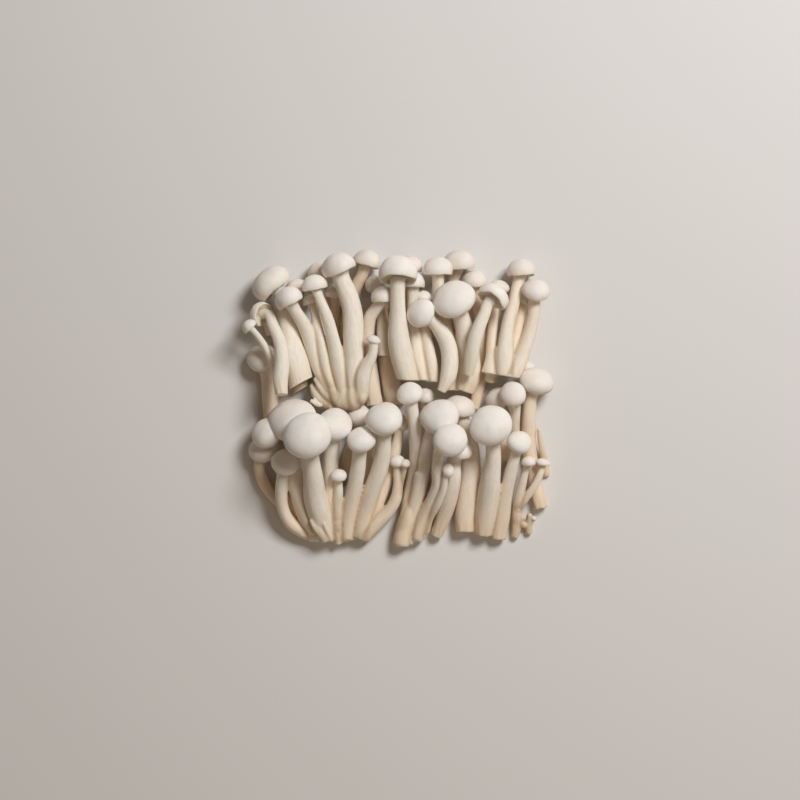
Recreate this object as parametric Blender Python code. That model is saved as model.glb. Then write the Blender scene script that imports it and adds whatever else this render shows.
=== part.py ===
"""A bunch of white shimeji mushrooms, lying in a heap as they were cut from the block they grew on.

Every clump that still holds together at its cut base is one solid, and so is every mushroom that
came loose. They lie on each other in two or three layers. The far row lies flat with its caps
pointing away, and the near row rises from its cut bases, so that its caps look up. Lengths are in
millimetres until the meshes are made. X runs to the right, Y towards the far caps and Z up from
the table.
"""

import math
from dataclasses import dataclass

import bpy
import numpy as np

# Driving dimensions of the bunch, in millimetres
MM = 0.001
HEAP_CENTRE = (-0.7, 0.5)
STEM_STEP = 10.0
FEWEST_STEM_RINGS = 4
FLESH_COLOUR = (0.86, 0.80, 0.70)
FLESH_ROUGHNESS = 0.6

# Sides of an outline up to a size in millimetres: a cap's radius, and a stem's thickness
CAP_SIDES = ((2.5, 6), (4.4, 8), (7.0, 12), (math.inf, 14))
STEM_SIDES = ((3.6, 6), (8.0, 8), (math.inf, 10))
OPEN_CAP_SIDES = 20

# Proportions that all the mushrooms share, as parts of a cap's radius or height, or of a stem's
# thickness. A cap's place turns its lobes, so that no two outlines are alike
CAP_HEIGHT = 1.05
RIM_BELOW_MIDDLE = 0.45
OPEN_RIM = 0.25
TUCKED_RIM = 0.36
DOME_RINGS = (0.0, 0.3, 0.62, 0.88)
GILL_RING_OUT = 0.62
GILL_RING_UP = 0.08
GILL_RELIEF = 0.035
LOBES = 0.03
SMALL_LOBES = 0.015
LOBE_TURN = (0.7, 1.3)
SEAT_UP = 0.28
SEAT_FLARE = 1.12
SHOULDER_OUT = 0.22
SHOULDER_WIDTH = 0.68
TIP_OUT = 0.3
LEVEL_SIDE = 0.05

# The shapes: plain functions of the numbers above


@dataclass
class Mushroom:
    """One mushroom: the middle of its cap, the cap's radius, where the cap faces and its stem.

    faces is a heading on the table, anticlockwise from +X, and a rise above the table, in degrees.
    The stem runs from under the cap to the base, as rows of x, y, z and thickness. A mushroom with
    no cap is a blunt finger. cut is a point and a heading of an upright knife cut at the base.
    """

    cap: tuple
    radius: float
    faces: tuple
    stem: list
    height: float = 0.0
    rim: float = OPEN_RIM
    cut: tuple = ()
    round_base: bool = False
    sides: int = 0


def unit(vector):
    return vector / np.linalg.norm(vector)


def facing(heading, rise):
    """Unit vector of a heading on the table and a rise above it, in degrees."""
    turn = math.radians(heading)
    lift = math.radians(rise)
    return np.array((math.cos(lift) * math.cos(turn), math.cos(lift) * math.sin(turn), math.sin(lift)))


def square_to(axis):
    """Two unit vectors square to an axis, the first level and the second on its upper side."""
    side = np.cross((0.0, 0.0, 1.0), axis)
    if np.linalg.norm(side) < LEVEL_SIDE:
        side = np.cross((0.0, 1.0, 0.0), axis)
    side = unit(side)
    return side, np.cross(axis, side)


def cap_height(one):
    return one.height or CAP_HEIGHT * one.radius


def rim_centre(one):
    return np.array(one.cap) - RIM_BELOW_MIDDLE * cap_height(one) * facing(*one.faces)


def skin(rings, first, last):
    """Triangles that join equal rings in a row and close both ends on a point each.

    What would lie below the table is pressed flat on it.
    """
    sides = len(rings[0])
    points = np.vstack([*rings, first, last])
    bottom = len(points) - 2
    top = len(points) - 1
    triangles = []
    for k in range(sides):
        after = (k + 1) % sides
        triangles.append((bottom, after, k))
        for r in range(len(rings) - 1):
            low = r * sides
            high = low + sides
            triangles.append((low + k, low + after, high + after))
            triangles.append((low + k, high + after, high + k))
        end = (len(rings) - 1) * sides
        triangles.append((end + k, end + after, top))
    points[:, 2] = np.maximum(points[:, 2], 0.0)
    return points, np.array(triangles)


def sides_for(size, table):
    """Sides of an outline: a small one needs fewer than a large one."""
    return next(sides for limit, sides in table if size < limit)


def dome_width(up, widest):
    """How wide a cap is at a height over its rim, both as parts of the whole."""
    return math.sqrt(max(0.0, 1.0 - ((up - widest) / (1.0 - widest)) ** 2))


def cap_skin(one):
    """The closed skin of a cap: a fluted gill plate, the rim and the dome."""
    axis = facing(*one.faces)
    side, up = square_to(axis)
    centre = rim_centre(one)
    height = cap_height(one)
    sides = one.sides or sides_for(one.radius, CAP_SIDES)
    turn = 2.0 * math.pi * np.arange(sides) / sides
    phase = LOBE_TURN[0] * one.cap[0] + LOBE_TURN[1] * one.cap[1]
    lobes = LOBES * np.sin(2.0 * turn + phase) + SMALL_LOBES * np.sin(3.0 * turn - phase)
    rim = np.cos(turn)[:, None] * side + np.sin(turn)[:, None] * up
    rim = rim * (one.radius * (1.0 + lobes))[:, None]
    flutes = GILL_RELIEF * (1.0 - 2.0 * (np.arange(sides) % 2))
    rings = [centre + GILL_RING_OUT * rim + ((GILL_RING_UP + flutes) * height)[:, None] * axis]
    for level in DOME_RINGS:
        rings.append(centre + dome_width(level, one.rim) * rim + level * height * axis)
    return skin(rings, centre, centre + height * axis)


def smooth_rows(rows, count, last_slope=None):
    """Even rows along a smooth curve through given rows, whose first three values are a place."""
    rows = np.array(rows, float)
    steps = np.linalg.norm(np.diff(rows[:, :3], axis=0), axis=1)
    at = np.concatenate(([0.0], np.cumsum(steps)))
    slopes = np.gradient(rows, at, axis=0)
    if last_slope is not None:
        slopes[-1, :3] = last_slope
    want = np.linspace(0.0, at[-1], count)
    part = np.clip(np.searchsorted(at, want, side="right") - 1, 0, len(at) - 2)
    span = (at[part + 1] - at[part])[:, None]
    t = ((want - at[part])[:, None]) / span
    start = (2 * t**3 - 3 * t**2 + 1) * rows[part] + (t**3 - 2 * t**2 + t) * span * slopes[part]
    end = (3 * t**2 - 2 * t**3) * rows[part + 1] + (t**3 - t**2) * span * slopes[part + 1]
    return start + end


def stem_rows(one):
    """The stem's rows from the base up, with one more seated inside the cap."""
    rows = [tuple(row) for row in reversed(one.stem)]
    if not one.radius:
        return rows, None
    axis = facing(*one.faces)
    seat = rim_centre(one) + SEAT_UP * cap_height(one) * axis
    chord = unit(seat - np.array(rows[-1][:3]))
    rows.append((*seat, SEAT_FLARE * rows[-1][3]))
    return rows, unit(axis + chord)


def stem_skin(one):
    """The closed skin of a stem, cut square or by the knife at its base, or rounded there."""
    rows, last_slope = stem_rows(one)
    length = sum(math.dist(a[:3], b[:3]) for a, b in zip(rows, rows[1:]))
    count = max(FEWEST_STEM_RINGS, round(length / STEM_STEP) + 1)
    rows = smooth_rows(rows, count, last_slope)
    sides = sides_for(np.mean(rows[:, 3]), STEM_SIDES)
    flat_side_down = 0.0 if sides % 4 else 0.5
    turn = 2.0 * math.pi * (np.arange(sides) + flat_side_down) / sides
    places = rows[:, :3]
    along = np.gradient(places, axis=0)
    side = square_to(unit(along[0]))[0]
    rings = []
    for place, way, thickness in zip(places, along, rows[:, 3]):
        way = unit(way)
        side = unit(side - way * side.dot(way))
        up = np.cross(way, side)
        reach = np.cos(turn)[:, None] * side + np.sin(turn)[:, None] * up
        rings.append(place + 0.5 * thickness * reach)
    base = places[0]
    way = unit(along[0])
    if one.cut:
        face = facing(one.cut[2], 0.0)
        on_cut = np.array((one.cut[0], one.cut[1], 0.0))
        rings[0] = rings[0] + (((on_cut - rings[0]) @ face) / way.dot(face))[:, None] * way
        base = rings[0].mean(axis=0)
    if one.round_base:
        rings.insert(0, base - SHOULDER_OUT * rows[0, 3] * way + SHOULDER_WIDTH * (rings[0] - base))
        base = base - TIP_OUT * rows[0, 3] * way
    tip = places[-1]
    if not one.radius:
        way = unit(along[-1])
        rings.append(tip + SHOULDER_OUT * rows[-1, 3] * way + SHOULDER_WIDTH * (rings[-1] - tip))
        tip = tip + TIP_OUT * rows[-1, 3] * way
    return skin(rings, base, tip)


def skins(one):
    """The closed skins that one mushroom is made of."""
    made = [stem_skin(one)]
    if one.radius:
        made.append(cap_skin(one))
    return made


# The bunch, in millimetres


def finger(stem, **more):
    """A blunt finger with no cap: a bud, or a scrap of the base."""
    return Mushroom((0, 0, 0), 0.0, (0, 0), stem, **more)


LOWER_LEFT = [
    Mushroom((-37.5, -13.9, 29), 10, (97, 62), rim=TUCKED_RIM, stem=[
        (-36.3, -25, 21, 7.4), (-35.6, -32, 17, 8.4), (-35, -39.5, 12.5, 9.6), (-32.8, -48.5, 8, 9.2),
        (-30, -58, 4.5, 7.4)]),
    Mushroom((-44.3, -7.9, 14.5), 10.2, (115, 50), rim=TUCKED_RIM, stem=[
        (-43.9, -20, 10, 7.2), (-43.2, -30, 8.8, 8.2), (-41.5, -38, 7.6, 8.8), (-39, -46, 6, 8.4),
        (-34.5, -56, 4.5, 7.4)]),
    Mushroom((-54.8, -13.2, 12), 6.9, (130, 50), rim=TUCKED_RIM, stem=[
        (-52, -19, 8.6, 4.8), (-49.7, -27, 6, 5.2), (-46.9, -37, 3.6, 5.4), (-42.6, -46, 2.9, 5.4),
        (-36, -55, 3.4, 5.4)]),
    Mushroom((-56.8, -20.1, 6.5), 6.2, (120, 50), rim=TUCKED_RIM, stem=[
        (-58.2, -27, 4.6, 5), (-56.9, -33, 3.4, 5.2), (-53.5, -38.5, 2.6, 5.2), (-48.3, -43.6, 2.4, 5.2),
        (-40.5, -51.5, 2.6, 5.4)]),
    Mushroom((-47, -25.2, 17), 6, (110, 60), rim=TUCKED_RIM, stem=[
        (-48.2, -31, 14, 5), (-48.9, -38, 11, 5.2), (-48.2, -45, 8, 5.2), (-45.6, -50.4, 5.8, 5.4),
        (-41, -54, 4.2, 5.6), (-35, -56.6, 3.6, 5.6)]),
    Mushroom((-26.8, -9.8, 18), 7.4, (80, 62), rim=TUCKED_RIM, stem=[
        (-27.8, -17.5, 13.5, 6.6), (-28.6, -27, 10, 7), (-28.3, -38, 7.5, 7.2),
        (-27, -50, 4.8, 7), (-26, -58.6, 3.8, 6)]),
    Mushroom((-25.2, -30.5, 14.2), 3.5, (90, 25), height=3.7, stem=[
        (-25.2, -33.5, 12.6, 3.3), (-25.3, -38.5, 11, 3.8), (-26, -44, 8.5, 4.2),
        (-26, -52, 6, 4.6)]),
    Mushroom((-15.8, -15.8, 21), 6.2, (95, 45), rim=TUCKED_RIM, stem=[
        (-16.5, -22, 17, 6.2), (-17.2, -28, 14.3, 6.6), (-18.8, -36, 10.8, 6.6), (-20.6, -44, 7.5, 6.4),
        (-21.7, -51, 5.2, 6.4), (-22, -58.8, 4, 6.2)]),
    Mushroom((-6.5, -7.2, 22), 7.9, (95, 45), rim=TUCKED_RIM, stem=[
        (-6.6, -15.5, 17.5, 6.5), (-7, -22, 14.7, 7), (-8.7, -29.5, 12, 7.6), (-11.5, -37, 9, 7.4),
        (-14.4, -46, 6, 6.8), (-17, -58, 4, 6.4)]),
    Mushroom((-1.2, -24.8, 10.2), 3.4, (95, 25), stem=[
        (-1.2, -28.5, 9, 3.8), (-0.8, -35, 8, 4.2), (-1.8, -41, 7, 4.8), (-5, -46.5, 5.8, 5.4),
        (-9.5, -51, 4.8, 6), (-16, -57.5, 4, 6)]),
    Mushroom((2.2, -25.8, 11.9), 2.2, (85, 30), stem=[
        (1.7, -29, 9.8, 2.5), (0.5, -33.5, 8.3, 2.6), (-0.5, -38, 7.3, 3)]),
    Mushroom((1.2, -8.9, 7.6), 3.6, (35, 30), stem=[
        (-0.4, -13.5, 6.6, 4), (-2, -21, 5.8, 5), (-4.4, -30, 5, 5.2), (-7.5, -38.5, 4.2, 5.4),
        (-11, -46.5, 4, 5.4), (-16, -55, 4, 5)]),
    finger([(-36.8, -49.4, 11.4, 1.4), (-35.3, -52.5, 10.4, 2), (-33, -55.5, 9, 2.6),
            (-30.8, -57.6, 7.6, 3.2)]),
    finger([(-11.6, -16, 3.2, 5.6), (-13, -30, 3.2, 6), (-17, -48, 3.2, 6)]),
    finger([(-35, -54.5, 2.5, 4.6), (-30, -55.5, 3, 5.6), (-23, -56, 3, 5.6), (-16.5, -55, 2.5, 4.6)],
           round_base=True),
]

LOWER_MIDDLE = [
    Mushroom((16, -6.5, 20), 8.1, (115, 55), rim=TUCKED_RIM, stem=[
        (12.8, -13.5, 16, 5.6), (11, -21, 13.5, 5.6), (9.7, -29, 11, 5.4), (8.3, -37, 8, 5.4),
        (5, -47, 5, 5.8), (2.4, -59.4, 3.2, 6.4)]),
    Mushroom((20.5, -16, 28), 7.1, (75, 68), rim=TUCKED_RIM, stem=[
        (16.5, -22, 21.5, 5), (15.2, -28, 18, 5), (15.3, -34, 14.5, 4.8), (13, -41, 10.2, 5),
        (9.6, -49, 5.6, 6.2), (6.4, -57.8, 3.2, 6.8)]),
    Mushroom((20, -28.5, 19.5), 2.9, (30, 40), stem=[
        (18.6, -31.3, 18, 2.8), (17.9, -36, 15.5, 3.2), (15.5, -42.5, 11.5, 3.6), (11.8, -49, 6.2, 4.2),
        (9.9, -54.6, 3.4, 5.2)]),
    finger([(8, -30.5, 12, 4.5), (7, -36, 9.6, 4.6), (5, -43, 6.6, 5), (2, -51, 3.8, 6),
            (0, -60, 2.6, 5)]),
    Mushroom((3.9, 3, 19), 5.4, (100, 50), rim=TUCKED_RIM, stem=[
        (5, -4.5, 15.5, 5.4), (6.5, -13, 12.5, 6.4), (7.2, -22, 9, 6.8), (5.9, -33, 6, 6.8),
        (3.6, -43, 4, 6.4), (2.6, -52, 3, 5.6)]),
]

LOWER_RIGHT = [
    Mushroom((24.5, -2.2, 9.6), 6.6, (85, 20), stem=[
        (25.6, -8, 8.5, 6.2), (27.6, -16, 8, 7.6), (28.8, -24, 7.4, 8.6), (28.8, -32, 6.2, 8.8),
        (27.8, -41, 5, 8.6), (26.8, -49, 4.2, 8.4), (26.7, -54.7, 3.8, 7.6)]),
    Mushroom((36.9, -10, 24), 8.8, (100, 65), rim=TUCKED_RIM, stem=[
        (38, -18.5, 18, 6.3), (38.2, -25, 15.5, 6.8), (37.3, -32, 12.5, 8.3), (36.5, -39, 9, 9),
        (35.5, -47, 6, 9), (34.5, -55.8, 3.9, 7.2)]),
    Mushroom((49, -17, 17), 5.3, (60, 50), rim=TUCKED_RIM, stem=[
        (47.6, -21.5, 14.5, 4.4), (46.2, -27, 12.3, 4.9), (44.6, -34, 9.5, 5.4), (43.3, -41, 7, 5.7),
        (42, -49, 4.2, 6.8), (40.6, -57.8, 3.1, 6.2)]),
    finger([(26, -51, 2.5, 4.4), (32, -52, 3, 5.4), (39, -53, 2.5, 4.4)], round_base=True),
]

CENTRE = [
    Mushroom((-46, 42.2, 19.2), 6, (119, 6), height=7.3, stem=[
        (-43.4, 37.4, 17.4, 5.2), (-39, 30, 13.8, 5.6), (-36, 21, 11.1, 5.8), (-33, 12, 9.4, 5.6),
        (-27.5, 2.5, 9, 5.6)]),
    Mushroom((-35.2, 48, 15.5), 5.2, (102, 3), height=6.2, stem=[
        (-33.4, 42.5, 15.5, 4.4), (-30, 34, 15, 5), (-27.5, 25, 13.5, 5.6), (-25, 13, 11.5, 6.2),
        (-22, 0.5, 10, 6.4)]),
    Mushroom((-37, 41.5, 8.5), 3.7, (110, 5), [
        (-35.5, 37, 10, 3.6), (-33.9, 30, 11.4, 4.4), (-32, 20, 11.6, 4.8), (-29.8, 10, 10.8, 4.4),
        (-27, 2, 10, 4)]),
    Mushroom((-25.7, 55.9, 14), 7.5, (111, 5), height=8.2, stem=[
        (-24.2, 50, 13.4, 7), (-21.7, 44, 12.8, 7.8), (-19.6, 36, 12.4, 8.4), (-19.2, 26, 12, 8.6),
        (-19, 14, 11, 8.6), (-19.3, 1, 10, 7.8)]),
    Mushroom((-10.8, 25, 16), 3.1, (75, 10), height=2.8, stem=[
        (-10.8, 21.8, 16, 4), (-11.6, 18, 15.3, 4.6), (-13.7, 14, 14, 6), (-15.4, 9.5, 12.9, 7.2),
        (-16.2, 2, 10.8, 7)]),
    finger([(-34.8, 8.8, 9.3, 2.4), (-32.5, 5, 9.3, 3.2), (-29.5, 1.6, 9.3, 4), (-25, -1, 9.6, 4.6)]),
    finger([(-36.3, 6.3, 7, 2.4), (-34.8, 3.2, 7.1, 4.2), (-32.2, -0.6, 7.5, 5), (-28, -2.2, 8.2, 5)]),
    finger([(-28.5, 2.2, 9.6, 5), (-23, -0.2, 9.6, 8.2), (-17, 0.8, 10.7, 6.8), (-14.8, 3.6, 11.7, 4.6)],
           round_base=True),
]

UPPER_MIDDLE = [
    Mushroom((-0.8, 53.4, 18.6), 8.1, (91, -14), height=10.4, sides=OPEN_CAP_SIDES, stem=[
        (-0.9, 46.4, 18.6, 6), (-0.9, 40, 18.2, 6.2), (-0.8, 33, 17.4, 7), (-0.5, 25, 16.3, 9),
        (0.3, 20, 15.5, 9.8), (1.7, 14, 14.6, 9.2), (3.5, 7.5, 13.6, 8.6)], cut=(5, 8, 268)),
    Mushroom((5.4, 49.2, 11.4), 5.2, (88, 0), height=6.4, stem=[
        (5.2, 44, 10.8, 5), (5.3, 35, 9.8, 5.2), (6.3, 25, 10, 5.4), (7.8, 17, 10.6, 5.6),
        (9.3, 7.7, 11.4, 5.8)], cut=(5, 8.2, 268)),
    Mushroom((9.4, 42.6, 9.3), 3.8, (95, 15), height=4.6, stem=[
        (9.8, 38, 9, 4), (10.3, 30, 9.5, 4.4), (11.7, 21, 10.3, 5), (12.8, 15, 10.7, 5.2),
        (13.3, 7.2, 10.8, 5)], cut=(5, 7.7, 268)),
]

UPPER_RIGHT = [
    Mushroom((50, 54.4, 6.3), 6.1, (93, -3), height=7.2, stem=[
        (48.9, 49, 6.5, 5), (46.8, 40, 8.5, 5.2), (44.4, 31, 10, 5.6), (43.2, 22, 11, 6.4),
        (43, 9.8, 12, 7.6)], cut=(40, 10.3, 261)),
    Mushroom((56.1, 45.9, 11), 6.1, (80, 30), height=6, stem=[
        (55.3, 40, 9, 5), (55, 35, 8.5, 5.2), (53.6, 28.5, 8.5, 5.6), (51.2, 21, 9.5, 6),
        (48.3, 14, 11, 6.2), (45.6, 9.6, 12, 6.4)], cut=(40, 10.3, 261)),
    Mushroom((51.5, 42, 4), 3.8, (60, 10), [
        (50.3, 38, 4, 4.8), (49.5, 33, 4.5, 5.2), (48, 26, 6, 5.6), (46.3, 18, 8, 5.6),
        (45, 11.5, 10, 5.6)]),
    Mushroom((40.6, 47, 4.9), 4.6, (88, 5), [
        (39.6, 41, 4.6, 4), (38.6, 33, 5.6, 4.4), (37.8, 24, 7.6, 4.6), (37.3, 16, 9.6, 5),
        (36.6, 10.6, 11, 6.8)], cut=(40, 10.3, 261)),
    finger([(40.5, 21, 10.4, 3.4), (39.8, 10.4, 11, 5.6)], cut=(40, 10.3, 261)),
    finger([(38.4, 17, 7.4, 4.4), (37.6, 8.6, 6.4, 5.6)], round_base=True),
]

UPPER_LEFT = [
    Mushroom((-34, 54.3, 4.9), 4.7, (110, 5), [
        (-32.3, 48.5, 4, 5), (-31.5, 38, 2.7, 5.4), (-32.3, 26, 2.5, 5.8), (-29, 8, 2.5, 5.8)]),
    Mushroom((-27, 44.6, 4.6), 4.3, (85, 5), [
        (-27, 39.5, 3.2, 4.4), (-27.4, 28, 2.4, 5.4), (-26.6, 14, 2.4, 5.8), (-26.3, 5.4, 2.4, 5.6)]),
    Mushroom((-13.3, 58.3, 6.1), 5.9, (75, 0), height=6.9, stem=[
        (-15, 53, 5.2, 5), (-17.5, 48, 4, 5), (-20.5, 40, 3, 5.4), (-22.6, 28, 2.5, 5.8),
        (-22.4, 12, 2.5, 5.8), (-23.3, 7, 2.5, 5.6)]),
    finger([(-29.5, 8, 2, 4.6), (-26, 6, 2, 5), (-22.5, 8, 2, 4.6)], round_base=True),
]

INNER_RIGHT = [
    Mushroom((22, 41.7, 18), 8.9, (110, 52), height=8.4, rim=TUCKED_RIM, stem=[
        (24.8, 34.5, 13, 7.2), (27, 27, 10.5, 8.2), (28.2, 18, 8.5, 9.2), (28.2, 10, 7, 9.8),
        (26.2, 3.4, 6.6, 8.2)]),
    Mushroom((15.7, 54.9, 11.5), 6, (88, 3), height=7.4, stem=[
        (15.7, 49.4, 10.8, 5.2), (15.8, 45, 10, 5.2), (16.8, 38, 8.6, 5.4), (19.8, 28, 7.4, 5.4),
        (22.6, 16, 6.6, 6), (21.6, 3.8, 6.2, 6.6)]),
    Mushroom((24.5, 57.8, 7), 6.8, (90, 8), height=7.4, stem=[
        (22.6, 51, 4.8, 4.8), (21.7, 46, 3.6, 5), (22.3, 38, 2.7, 5.6), (23.8, 28, 2.6, 5.6),
        (25.3, 15, 2.8, 6), (24.6, 5, 3, 6)]),
]

SMALL_RIGHT = [
    Mushroom((52.8, -25, 13), 3.1, (90, 15), [
        (52, -28, 11.5, 2.8), (50.6, -34, 9.5, 3.3), (49.2, -40, 7.5, 3.7), (48.5, -46, 5, 4),
        (48.3, -52.5, 2.6, 4), (47.6, -57, 1.5, 3.2)]),
    Mushroom((59, -25.5, 9), 3.1, (80, 10), height=2.5, stem=[
        (58.6, -28, 8.5, 2.7), (57.4, -31.5, 8.5, 2.9), (54.8, -36.5, 8, 3.2), (51.8, -40.5, 7, 3.4),
        (49, -44.5, 6, 3.4)]),
    Mushroom((55.4, -48.8, 4.4), 1.3, (60, 20), [
        (54.8, -50, 3.8, 1.8), (53.5, -51.5, 2.8, 2.6), (50.5, -51.5, 2.8, 3.2), (48.5, -50, 3.2, 3)]),
    finger([(53.5, -47.5, 4.8, 2.2), (53.4, -50.5, 3, 3), (53.3, -54.8, 1.5, 3.2)]),
]

RIGHT_EDGE = [
    Mushroom((56.5, 8.3, 8.5), 7.5, (72, 28), rim=TUCKED_RIM, stem=[
        (54, 2, 6.5, 6), (53.3, -8, 5, 6.2), (53.5, -20, 3.4, 6), (55.5, -33, 2.6, 5.8),
        (58.3, -45, 2.6, 6)]),
    Mushroom((52.6, 13.9, 3.7), 3.5, (100, 20), [(52.9, 9.5, 3.7, 3.2), (53.6, 2, 5, 3.2)]),
]

INNER_PAIR = [
    Mushroom((46.2, 2.6, 14.6), 5.5, (120, 62), rim=TUCKED_RIM, stem=[
        (47.4, -2.5, 10.6, 4.6), (47.3, -10, 7, 4.6), (47.4, -20, 2.6, 4.8), (45, -32, 2.5, 5.5)]),
    Mushroom((40.2, 1, 6.6), 5.5, (125, 35), rim=TUCKED_RIM, round_base=True, stem=[
        (42.4, -2.8, 5, 4), (44, -8, 4.5, 4.6), (43.8, -16, 4.5, 5), (43.3, -24, 5, 5)]),
]

BUNCH = {
    "clump_lower_left": LOWER_LEFT,
    "clump_lower_middle": LOWER_MIDDLE,
    "clump_lower_right": LOWER_RIGHT,
    "clump_centre": CENTRE,
    "clump_upper_middle": UPPER_MIDDLE,
    "clump_upper_right": UPPER_RIGHT,
    "clump_upper_left": UPPER_LEFT,
    "clump_inner_right": INNER_RIGHT,
    "clump_small_right": SMALL_RIGHT,
    "pair_right_edge": RIGHT_EDGE,
    "pair_inner_right": INNER_PAIR,
    "mushroom_broad": [Mushroom((-53.6, 48.6, 8.8), 8.6, (132, 0), height=10, rim=TUCKED_RIM,
                                cut=(-40.8, 7, 298), stem=[
        (-49.6, 44, 9, 6), (-47.8, 37.5, 9.7, 6.8), (-45.6, 27, 10.5, 8.6), (-43, 16, 11, 10.2),
        (-40.8, 7, 11, 10.6)])],
    "mushroom_open_left": [Mushroom((-57.8, 35.6, 11.6), 5.3, (160, -38), height=5.6,
                                    sides=OPEN_CAP_SIDES, stem=[
        (-54.3, 35.4, 14.4, 4.2), (-52, 30.4, 16.4, 4.6), (-48.9, 22.7, 18.2, 5.6),
        (-48.2, 16, 19, 6.2), (-48.8, 8, 19.6, 6.4), (-48.2, 2, 21, 5.2)])],
    "mushroom_small_left": [Mushroom((-62, 30.5, 18), 3.3, (133, 5), height=3.9, stem=[
        (-60.2, 28.6, 17.6, 2.7), (-57.1, 24.6, 16.2, 3), (-54.2, 19.5, 14.6, 3.2),
        (-52, 14, 13.5, 3.2), (-50, 10, 13, 3)])],
    "mushroom_low_left": [Mushroom((-57.2, 37.2, 3.3), 3.1, (120, 10), [
        (-55.8, 34, 2.8, 3.6), (-54.6, 30, 1.9, 4), (-53.6, 26.6, 1.9, 4)])],
    "mushroom_under_left": [Mushroom((-42.6, 47.2, 5.2), 4.9, (95, 10), [
        (-42.8, 40, 3.2, 4.4), (-43.3, 28, 2.3, 5.4), (-42.5, 15, 2.2, 6), (-41, 4, 2.1, 6.8)],
        cut=(-41.5, 4, 300))],
    "mushroom_left_edge": [Mushroom((-57.2, 18, 6.8), 6.4, (110, 55), height=6.6, stem=[
        (-54.8, 11, 4.4, 6.6), (-53.8, 0, 3.2, 7), (-53.3, -9.5, 2.6, 6.4)])],
    "mushroom_under_middle": [Mushroom((4.2, 56.4, 5.4), 5.2, (82, 0), height=6, stem=[
        (3, 50, 3.6, 5), (0, 40, 2.5, 5.8), (-4.5, 28, 2.6, 6.2), (-5.6, 19, 3, 6.8),
        (-4, 9, 3.8, 8.6), (-1.4, -2, 3.8, 8.6)])],
    "mushroom_bent": [Mushroom((-7, 43.3, 13.1), 5, (95, 3), height=6.4, stem=[
        (-9, 38.6, 11.6, 5), (-12.3, 34, 9.4, 5.4), (-13.3, 28, 7.6, 5.6), (-13, 18, 6.8, 6),
        (-11.8, 8, 6.4, 6.4), (-10.4, -2, 6, 6.6)])],
    "mushroom_short": [Mushroom((-10.6, 48.4, 4.4), 4.3, (105, 20), height=6, cut=(-6.5, 18.3, 270),
                                stem=[
        (-8.4, 42, 4.2, 4.6), (-7.1, 32, 7.1, 4.8), (-6.8, 24, 9.8, 5.2), (-6.5, 18.3, 10.6, 5.2)])],
    "mushroom_lone_bend": [Mushroom((8.3, 35.7, 18.6), 6.1, (150, 60), rim=TUCKED_RIM, stem=[
        (12.5, 33, 16, 5), (16.5, 28.5, 14.2, 6), (19.5, 23, 13.5, 6.8), (20.5, 16, 14, 7),
        (19.5, 9, 15, 6.2), (16.8, 3.5, 15.5, 3.5)])],
    "mushroom_under_right": [Mushroom((30.8, 50.1, 6), 5.6, (90, 8), height=6.4, stem=[
        (31.2, 45, 4.3, 4.8), (33, 34, 2.8, 4.8), (34.2, 22, 2.3, 5), (33.6, 10, 2.3, 5),
        (31.9, 2, 2.2, 4.8), (30.4, -3.5, 2.2, 4.6)])],
    "mushroom_open_right": [Mushroom((38.8, 43.1, 16.8), 6.6, (57, -20), sides=OPEN_CAP_SIDES, stem=[
        (36.3, 40, 17.4, 5), (34.4, 35, 18, 5.2), (32.3, 30, 18.2, 5.6), (30.6, 25, 18.1, 6),
        (29.3, 18, 17, 5.8), (28, 10.3, 15.4, 4)])],
    "mushroom_lower_lone": [Mushroom((24.6, -19.4, 17.9), 5.8, (75, 20), [
        (22.5, -24, 14.5, 5.5), (22.1, -32, 12.8, 6), (20.6, -40, 9.3, 6.5), (18.5, -47, 5.6, 6.4),
        (15.2, -56, 2.8, 5.2)])],
    "mushroom_under_lower_middle": [Mushroom((10.3, 2.2, 9), 4.1, (90, 30), [
        (10.6, -3, 7, 3.8), (11.5, -12, 4, 4.4), (13, -24, 2.3, 5), (14, -35, 2.2, 5)])],
    "mushroom_under_lower_left": [Mushroom((-17, -5.8, 7), 5.2, (90, 45), [
        (-18.1, -13, 4.4, 5), (-20.7, -24, 3, 7), (-21.8, -32, 3, 7)])],
    "crumb": [
        finger([(-32.4, -2.2, 12.2, 1.7), (-33.9, -1.6, 12.4, 2.2), (-35.2, 0.4, 12, 1.5)],
               round_base=True),
        finger([(-36.5, -0.2, 13, 1.4), (-35.2, -1, 12.8, 1.7), (-33.8, -1.8, 12.4, 2)],
               round_base=True)],
    "splinter": [finger([(57.3, -12, 7, 2), (58.3, -18, 5, 2.6), (59.8, -25, 2, 3),
                         (60.8, -31, 1.2, 3)])],
}

# The solids


def clear_scene():
    for thing in list(bpy.data.objects):
        bpy.data.objects.remove(thing)


def flesh_material(name, colour, roughness):
    """Matt, faintly waxy mushroom flesh."""
    material = bpy.data.materials.new(name)
    material.use_nodes = True
    shader = material.node_tree.nodes["Principled BSDF"]
    shader.inputs["Base Color"].default_value = (*colour, 1.0)
    shader.inputs["Roughness"].default_value = roughness
    shader.inputs["Metallic"].default_value = 0.0
    return material


def add_skin(name, points, triangles, collection):
    """An object from one closed skin, moved so that the heap stands over the origin."""
    mesh = bpy.data.meshes.new(name)
    placed = (points - np.array((*HEAP_CENTRE, 0.0))) * MM
    mesh.from_pydata(placed.tolist(), [], triangles.tolist())
    made = bpy.data.objects.new(name, mesh)
    collection.objects.link(made)
    return made


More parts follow.
